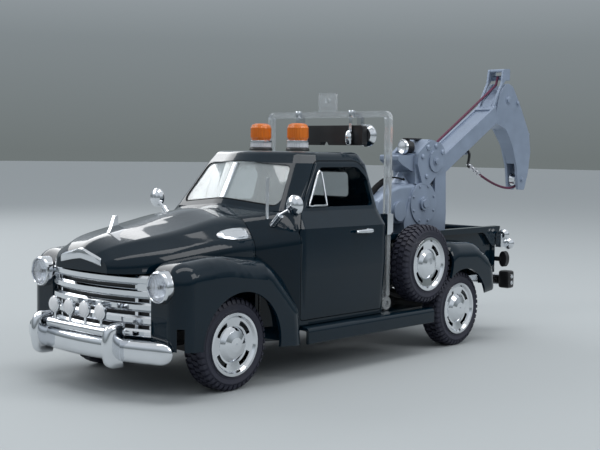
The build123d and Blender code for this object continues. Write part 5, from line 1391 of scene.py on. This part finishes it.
@dataclass(frozen=True)
class CraneDressing:
    """Bolts, domes and nuts on turret and forearm, the head's lamp, the hose and the thin wire.

    A dome is its X, Z and radius. A forearm's pin is its X, Z, half length and nut's width. A strap
    of the lamp is two corners seen from the lamp's middle, and the width of its bevels.
    """

    drum: Couple = (-19.5, 73.0)
    housing_half: float = 9.2
    drum_bolts: int = 8
    drum_bolt_radius: float = 10.2
    hub_half: float = 10.1
    cheek_half: float = 9.3
    luff: Couple = (-29.5, 96.8)
    domes: tuple[Triple, ...] = (
        (-36.6, 102.0, 1.7), (-30.0, 105.4, 1.5), (-22.6, 104.4, 1.8), (-17.6, 99.2, 1.5),
        (-21.4, 88.2, 1.4),
    )
    forearm_pins: tuple[tuple[float, float, float, float], ...] = (
        (-111.5, 135.3, 5.8, 4.4), (-122.6, 133.6, 5.8, 2.6), (-132.4, 85.6, 4.4, 2.8),
    )
    lamp: Point = (-12.4, 0.0, 104.5)
    lamp_facing: Point = (0.966, -0.259, 0.0)
    straps: tuple[tuple[Point, Point, float], ...] = (
        ((-14.0, -2.0, 4.2), (-1.0, 2.0, 5.2), 0.35), ((-2.8, -2.0, 3.0), (-1.4, 2.0, 5.0), 0.3),
        ((-3.4, -1.4, -4.9), (-1.4, 1.4, -3.2), 0.3),
    )
    hose: tuple[Point, ...] = (
        (18.4, 0.0, 76.8), (15.6, 0.0, 79.6), (11.6, 0.0, 82.6), (7.4, 0.0, 84.6), (5.0, 0.0, 85.2),
    )
    hose_radius: float = 1.7
    knob_share: float = 1.35
    wire_radius: float = 0.42
    wire: tuple[Point, ...] = (
        (9.4, 0.0, 85.6), (6.0, 0.8, 87.0), (1.0, 1.8, 87.6), (-4.0, 2.8, 87.2), (-8.0, 3.2, 86.4),
    )

    def turret_heads(self) -> Piece:
        """Makes the bolts round the drum's cover, the cheeks' domes and the luffing pin's nuts.

        Returns:
            All of them as one piece.
        """
        draft = Draft()
        for side in Side:
            across = side.outward()
            for index in range(self.drum_bolts):
                angle = 2 * math.pi * (index + 0.5) / self.drum_bolts
                x = self.drum[0] + self.drum_bolt_radius * math.cos(angle)
                z = self.drum[1] + self.drum_bolt_radius * math.sin(angle)
                draft.bolt(side.place((x, self.housing_half, z)), across, 1.4, 0.5)
            for x, z, radius in self.domes:
                draft.lathe([(radius, -0.2), (radius, 0.25), (radius * 0.8, 0.6), (radius * 0.4, 0.82),
                             (0, 0.9)], [side.place((x, self.cheek_half, z))], across, 24)
            draft.bolt(side.place((self.luff[0], self.hub_half, self.luff[1])), across, 4.2, 1.2)
        return draft.piece("turret_heads", "crane_turret", CAST)

    def head_lamp(self) -> list[Piece]:
        """Makes the lamp on the head: black drum and strap, bright rim and dish.

        Returns:
            The lamp's body, rim and dish.
        """
        facing = Vector(self.lamp_facing)
        drum = Draft()
        drum.lathe([(0, -5.8), (2.4, -5.6), (3.4, -4.8), (3.75, -3.0), (3.9, 0.2), (3.9, 0.7), (0, 0.7)],
                   [self.lamp], facing)
        x, y, z = self.lamp
        for (rear, right, low), (front, left, high), bevel in self.straps:
            drum.plate((x + rear, y + right, z + low), (x + front, y + left, z + high), bevel)
        body = drum.piece("head_lamp_body", "crane_turret", BLACK)
        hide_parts("turret_fittings")
        rim = Draft()
        rim.lathe([(3.2, 0.6), (3.9, 0.0), (4.25, 0.2), (4.25, 1.3), (3.9, 1.8), (3.4, 1.8)],
                  [self.lamp], facing, closed=True)
        dish = Draft()
        dish.lathe([(0, 0.75), (1.2, 0.85), (2.4, 1.1), (3.5, 1.6), (3.5, 0.72), (0, 0.72)],
                   [self.lamp], facing)
        return [body, rim.piece("head_lamp_rim", "crane_turret", CHROME),
                dish.piece("head_lamp_dish", "crane_turret", DISH)]

    def thick_hose(self) -> Piece:
        """Makes the black hose on the winch, with a round knob at its end.

        Returns:
            The hose, which stands for its solid.
        """
        draft = Draft()
        draft.tube(smooth_line(self.hose, 6), self.hose_radius, 20)
        knob = self.hose_radius * self.knob_share
        slope = knob * 0.7
        draft.lathe([(0, -knob), (slope, -slope), (knob, 0), (slope, slope), (0, knob)],
                    [self.hose[-1]], UPWARD, 24)
        hose = draft.piece("winch_hose", "crane_turret", SEAL, 60)
        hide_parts("turret_hose")
        return hose

    def thin_wire(self) -> Piece:
        """Makes the thin wire from the hose to the turret's neck.

        Returns:
            The wire with its end.
        """
        draft = Draft()
        draft.tube(smooth_line(self.wire, 6), self.wire_radius, 8)
        draft.lathe([(0, -0.9), (0.6, -0.7), (0.9, 0), (0.6, 0.7), (0, 0.9)], [self.wire[-1]],
                    UPWARD, 16)
        return draft.piece("turret_wire", "crane_turret", SEAL)

    def pin_nuts(self) -> Piece:
        """Makes the nuts on the forearm's pins.

        Returns:
            The nuts as one piece.
        """
        draft = Draft()
        for side in Side:
            for x, z, half, width in self.forearm_pins:
                draft.bolt(side.place((x, half, z)), side.outward(), width, 0.9)
        return draft.piece("forearm_nuts", "forearm", CAST)

    def build(self) -> list[Piece]:
        """Makes the crane's small pieces."""
        return [self.turret_heads(), *self.head_lamp(), self.thick_hose(), self.thin_wire(),
                self.pin_nuts()]


# Studio

@dataclass(frozen=True)
class Studio:
    """Floor, lamps, world and the camera at the photograph's angle.

    A band of the sky is its height, from 0 at the horizon to 1 overhead, and its colour. A lamp
    is its name, place, length and width in millimetres, and its power in watts. Angles are degrees.
    """

    camera_place: Point = (482.025, 368.734, 99.799)
    yaw: float = -137.915
    pitch: float = -3.7234
    roll: float = 0.8654
    lens: float = 65.57
    sensor: float = 36.0
    nearest: float = 0.01
    floor_size: float = 8.0
    floor_colour: Colour = (0.41, 0.435, 0.445)
    floor_roughness: float = 0.9
    world_strength: float = 0.72
    sky: tuple[tuple[float, Colour], ...] = (
        (0.0, (0.22, 0.25, 0.25)), (0.10, (0.30, 0.34, 0.36)), (0.34, (0.84, 0.92, 1.0)),
        (1.0, (0.95, 0.98, 1.0)),
    )
    lamps: tuple[tuple[str, Point, Couple, float], ...] = (
        ("top_lamp", (150.0, 120.0, 1000.0), (1300.0, 380.0), 5.0),
        ("side_lamp", (-300.0, 850.0, 620.0), (420.0, 420.0), 2.0),
        ("far_lamp", (150.0, -950.0, 620.0), (1400.0, 340.0), 4.5),
    )
    lamps_aim: Point = (80.0, 0.0, 60.0)

    def camera(self) -> None:
        """Places the camera and makes it the scene's own."""
        yaw, pitch, roll = (math.radians(angle) for angle in (self.yaw, self.pitch, self.roll))
        sight = Vector((math.cos(pitch) * math.cos(yaw), math.cos(pitch) * math.sin(yaw),
                        math.sin(pitch)))
        right = sight.cross(UPWARD).normalized()
        up = right.cross(sight)
        turned_right = right * math.cos(roll) + up * math.sin(roll)
        turned_up = up * math.cos(roll) - right * math.sin(roll)
        data = bpy.data.cameras.new("photo_camera")
        data.lens = self.lens
        data.sensor_width = self.sensor
        data.clip_start = self.nearest
        camera = add_object("photo_camera", data)
        columns = Matrix((turned_right, turned_up, -sight)).transposed()
        camera.matrix_world = Matrix.Translation(DATUM.at(self.camera_place)) @ columns.to_4x4()
        bpy.context.scene.camera = camera

    def floor(self) -> None:
        """Lays the plain pale floor."""
        draft = bmesh.new()
        bmesh.ops.create_grid(draft, x_segments=1, y_segments=1, size=self.floor_size)
        data = bpy.data.meshes.new("studio_floor")
        draft.to_mesh(data)
        draft.free()
        floor = add_object("studio_floor", data)
        material = bpy.data.materials.new("studio_floor")
        material.use_nodes = True
        shader = material.node_tree.nodes["Principled BSDF"]
        shader.inputs["Base Color"].default_value = (*self.floor_colour, 1.0)
        shader.inputs["Roughness"].default_value = self.floor_roughness
        data.materials.append(material)
        floor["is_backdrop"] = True

    def world(self) -> None:
        """Gives the world a soft sky: pale above, darker towards the ground."""
        world = bpy.data.worlds.new("studio_world")
        bpy.context.scene.world = world
        world.use_nodes = True
        nodes = world.node_tree.nodes
        links = world.node_tree.links
        background = nodes["Background"]
        height = nodes.new("ShaderNodeSeparateXYZ")
        links.new(nodes.new("ShaderNodeTexCoord").outputs["Generated"], height.inputs[0])
        ramp = nodes.new("ShaderNodeValToRGB")
        bands = ramp.color_ramp.elements
        for index, (position, colour) in enumerate(self.sky):
            band = bands[index] if index < len(bands) else bands.new(position)
            band.position = position
            band.color = (*colour, 1.0)
        links.new(height.outputs["Z"], ramp.inputs["Fac"])
        links.new(ramp.outputs["Color"], background.inputs["Color"])
        background.inputs["Strength"].default_value = self.world_strength

    def lights(self) -> None:
        """Hangs the soft lamps, each turned to the truck."""
        aim = DATUM.at(self.lamps_aim)
        for name, place, (length, width), power in self.lamps:
            data = bpy.data.lights.new(name, "AREA")
            data.shape = "RECTANGLE"
            data.size = length * MM
            data.size_y = width * MM
            data.energy = power
            lamp = add_object(name, data)
            lamp.location = DATUM.at(place)
            lamp.rotation_euler = (aim - lamp.location).to_track_quat("-Z", "Y").to_euler()

    def build(self) -> None:
        """Sets up the whole studio."""
        bpy.context.scene.view_settings.view_transform = "Standard"
        self.floor()
        self.world()
        self.lights()
        self.camera()


def finish_nodes() -> None:
    """Gives every CAD node the finish of its material slot."""
    for part in frame["record"]["subparts"]:
        finish = NODE_CHOICES.get(part["node"], NODE_FINISHES[part["material_slot"]])
        finish.dress(frame["nodes"][part["node"]])


def report(pieces: Iterable[Piece]) -> None:
    """Logs each piece with its face count.

    Args:
        pieces: the pieces that a class has built.
    """
    for piece in pieces:
        faces = len(piece.data.polygons) if piece.type == "MESH" else 0
        LOG.info("%s: %d faces", piece.name, faces)


def corners(bounds: Sequence[Sequence[float]]) -> list[list[float]]:
    """Gives a pair of corners as plain lists of numbers."""
    return [[float(part) for part in corner] for corner in bounds]


def main() -> None:
    """Builds the classes in order."""
    logging.basicConfig(level=logging.INFO, format="%(name)s %(message)s")
    cad_box = corners(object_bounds())
    finish_nodes()
    tyres = [("tyre_front_left", "wheel_front_left"), ("tyre_front_right", "wheel_front_right"),
             ("tyre_rear_left", "wheel_rear_left"), ("tyre_rear_right", "wheel_rear_right"),
             ("spare_tyre", "truck")]
    report(TreadedTyre(node, body).build() for node, body in tyres)
    fittings = HookChain().build()
    report([*fittings, SlackLine().build(fittings)])
    report(CabDressing().build())
    report(CabinDressing().build())
    report(DoorDressing(side).build() for side in Side)
    report(NoseDressing().build())
    report([BumperDressing().build(), HoodDressing().build()])
    report(RoofDressing().build())
    report(RearDressing().build())
    report(CraneDressing().build())
    Studio().build()
    {"cad": cad_box, "visual": corners(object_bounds())}


if __name__ == "__main__":
    main()
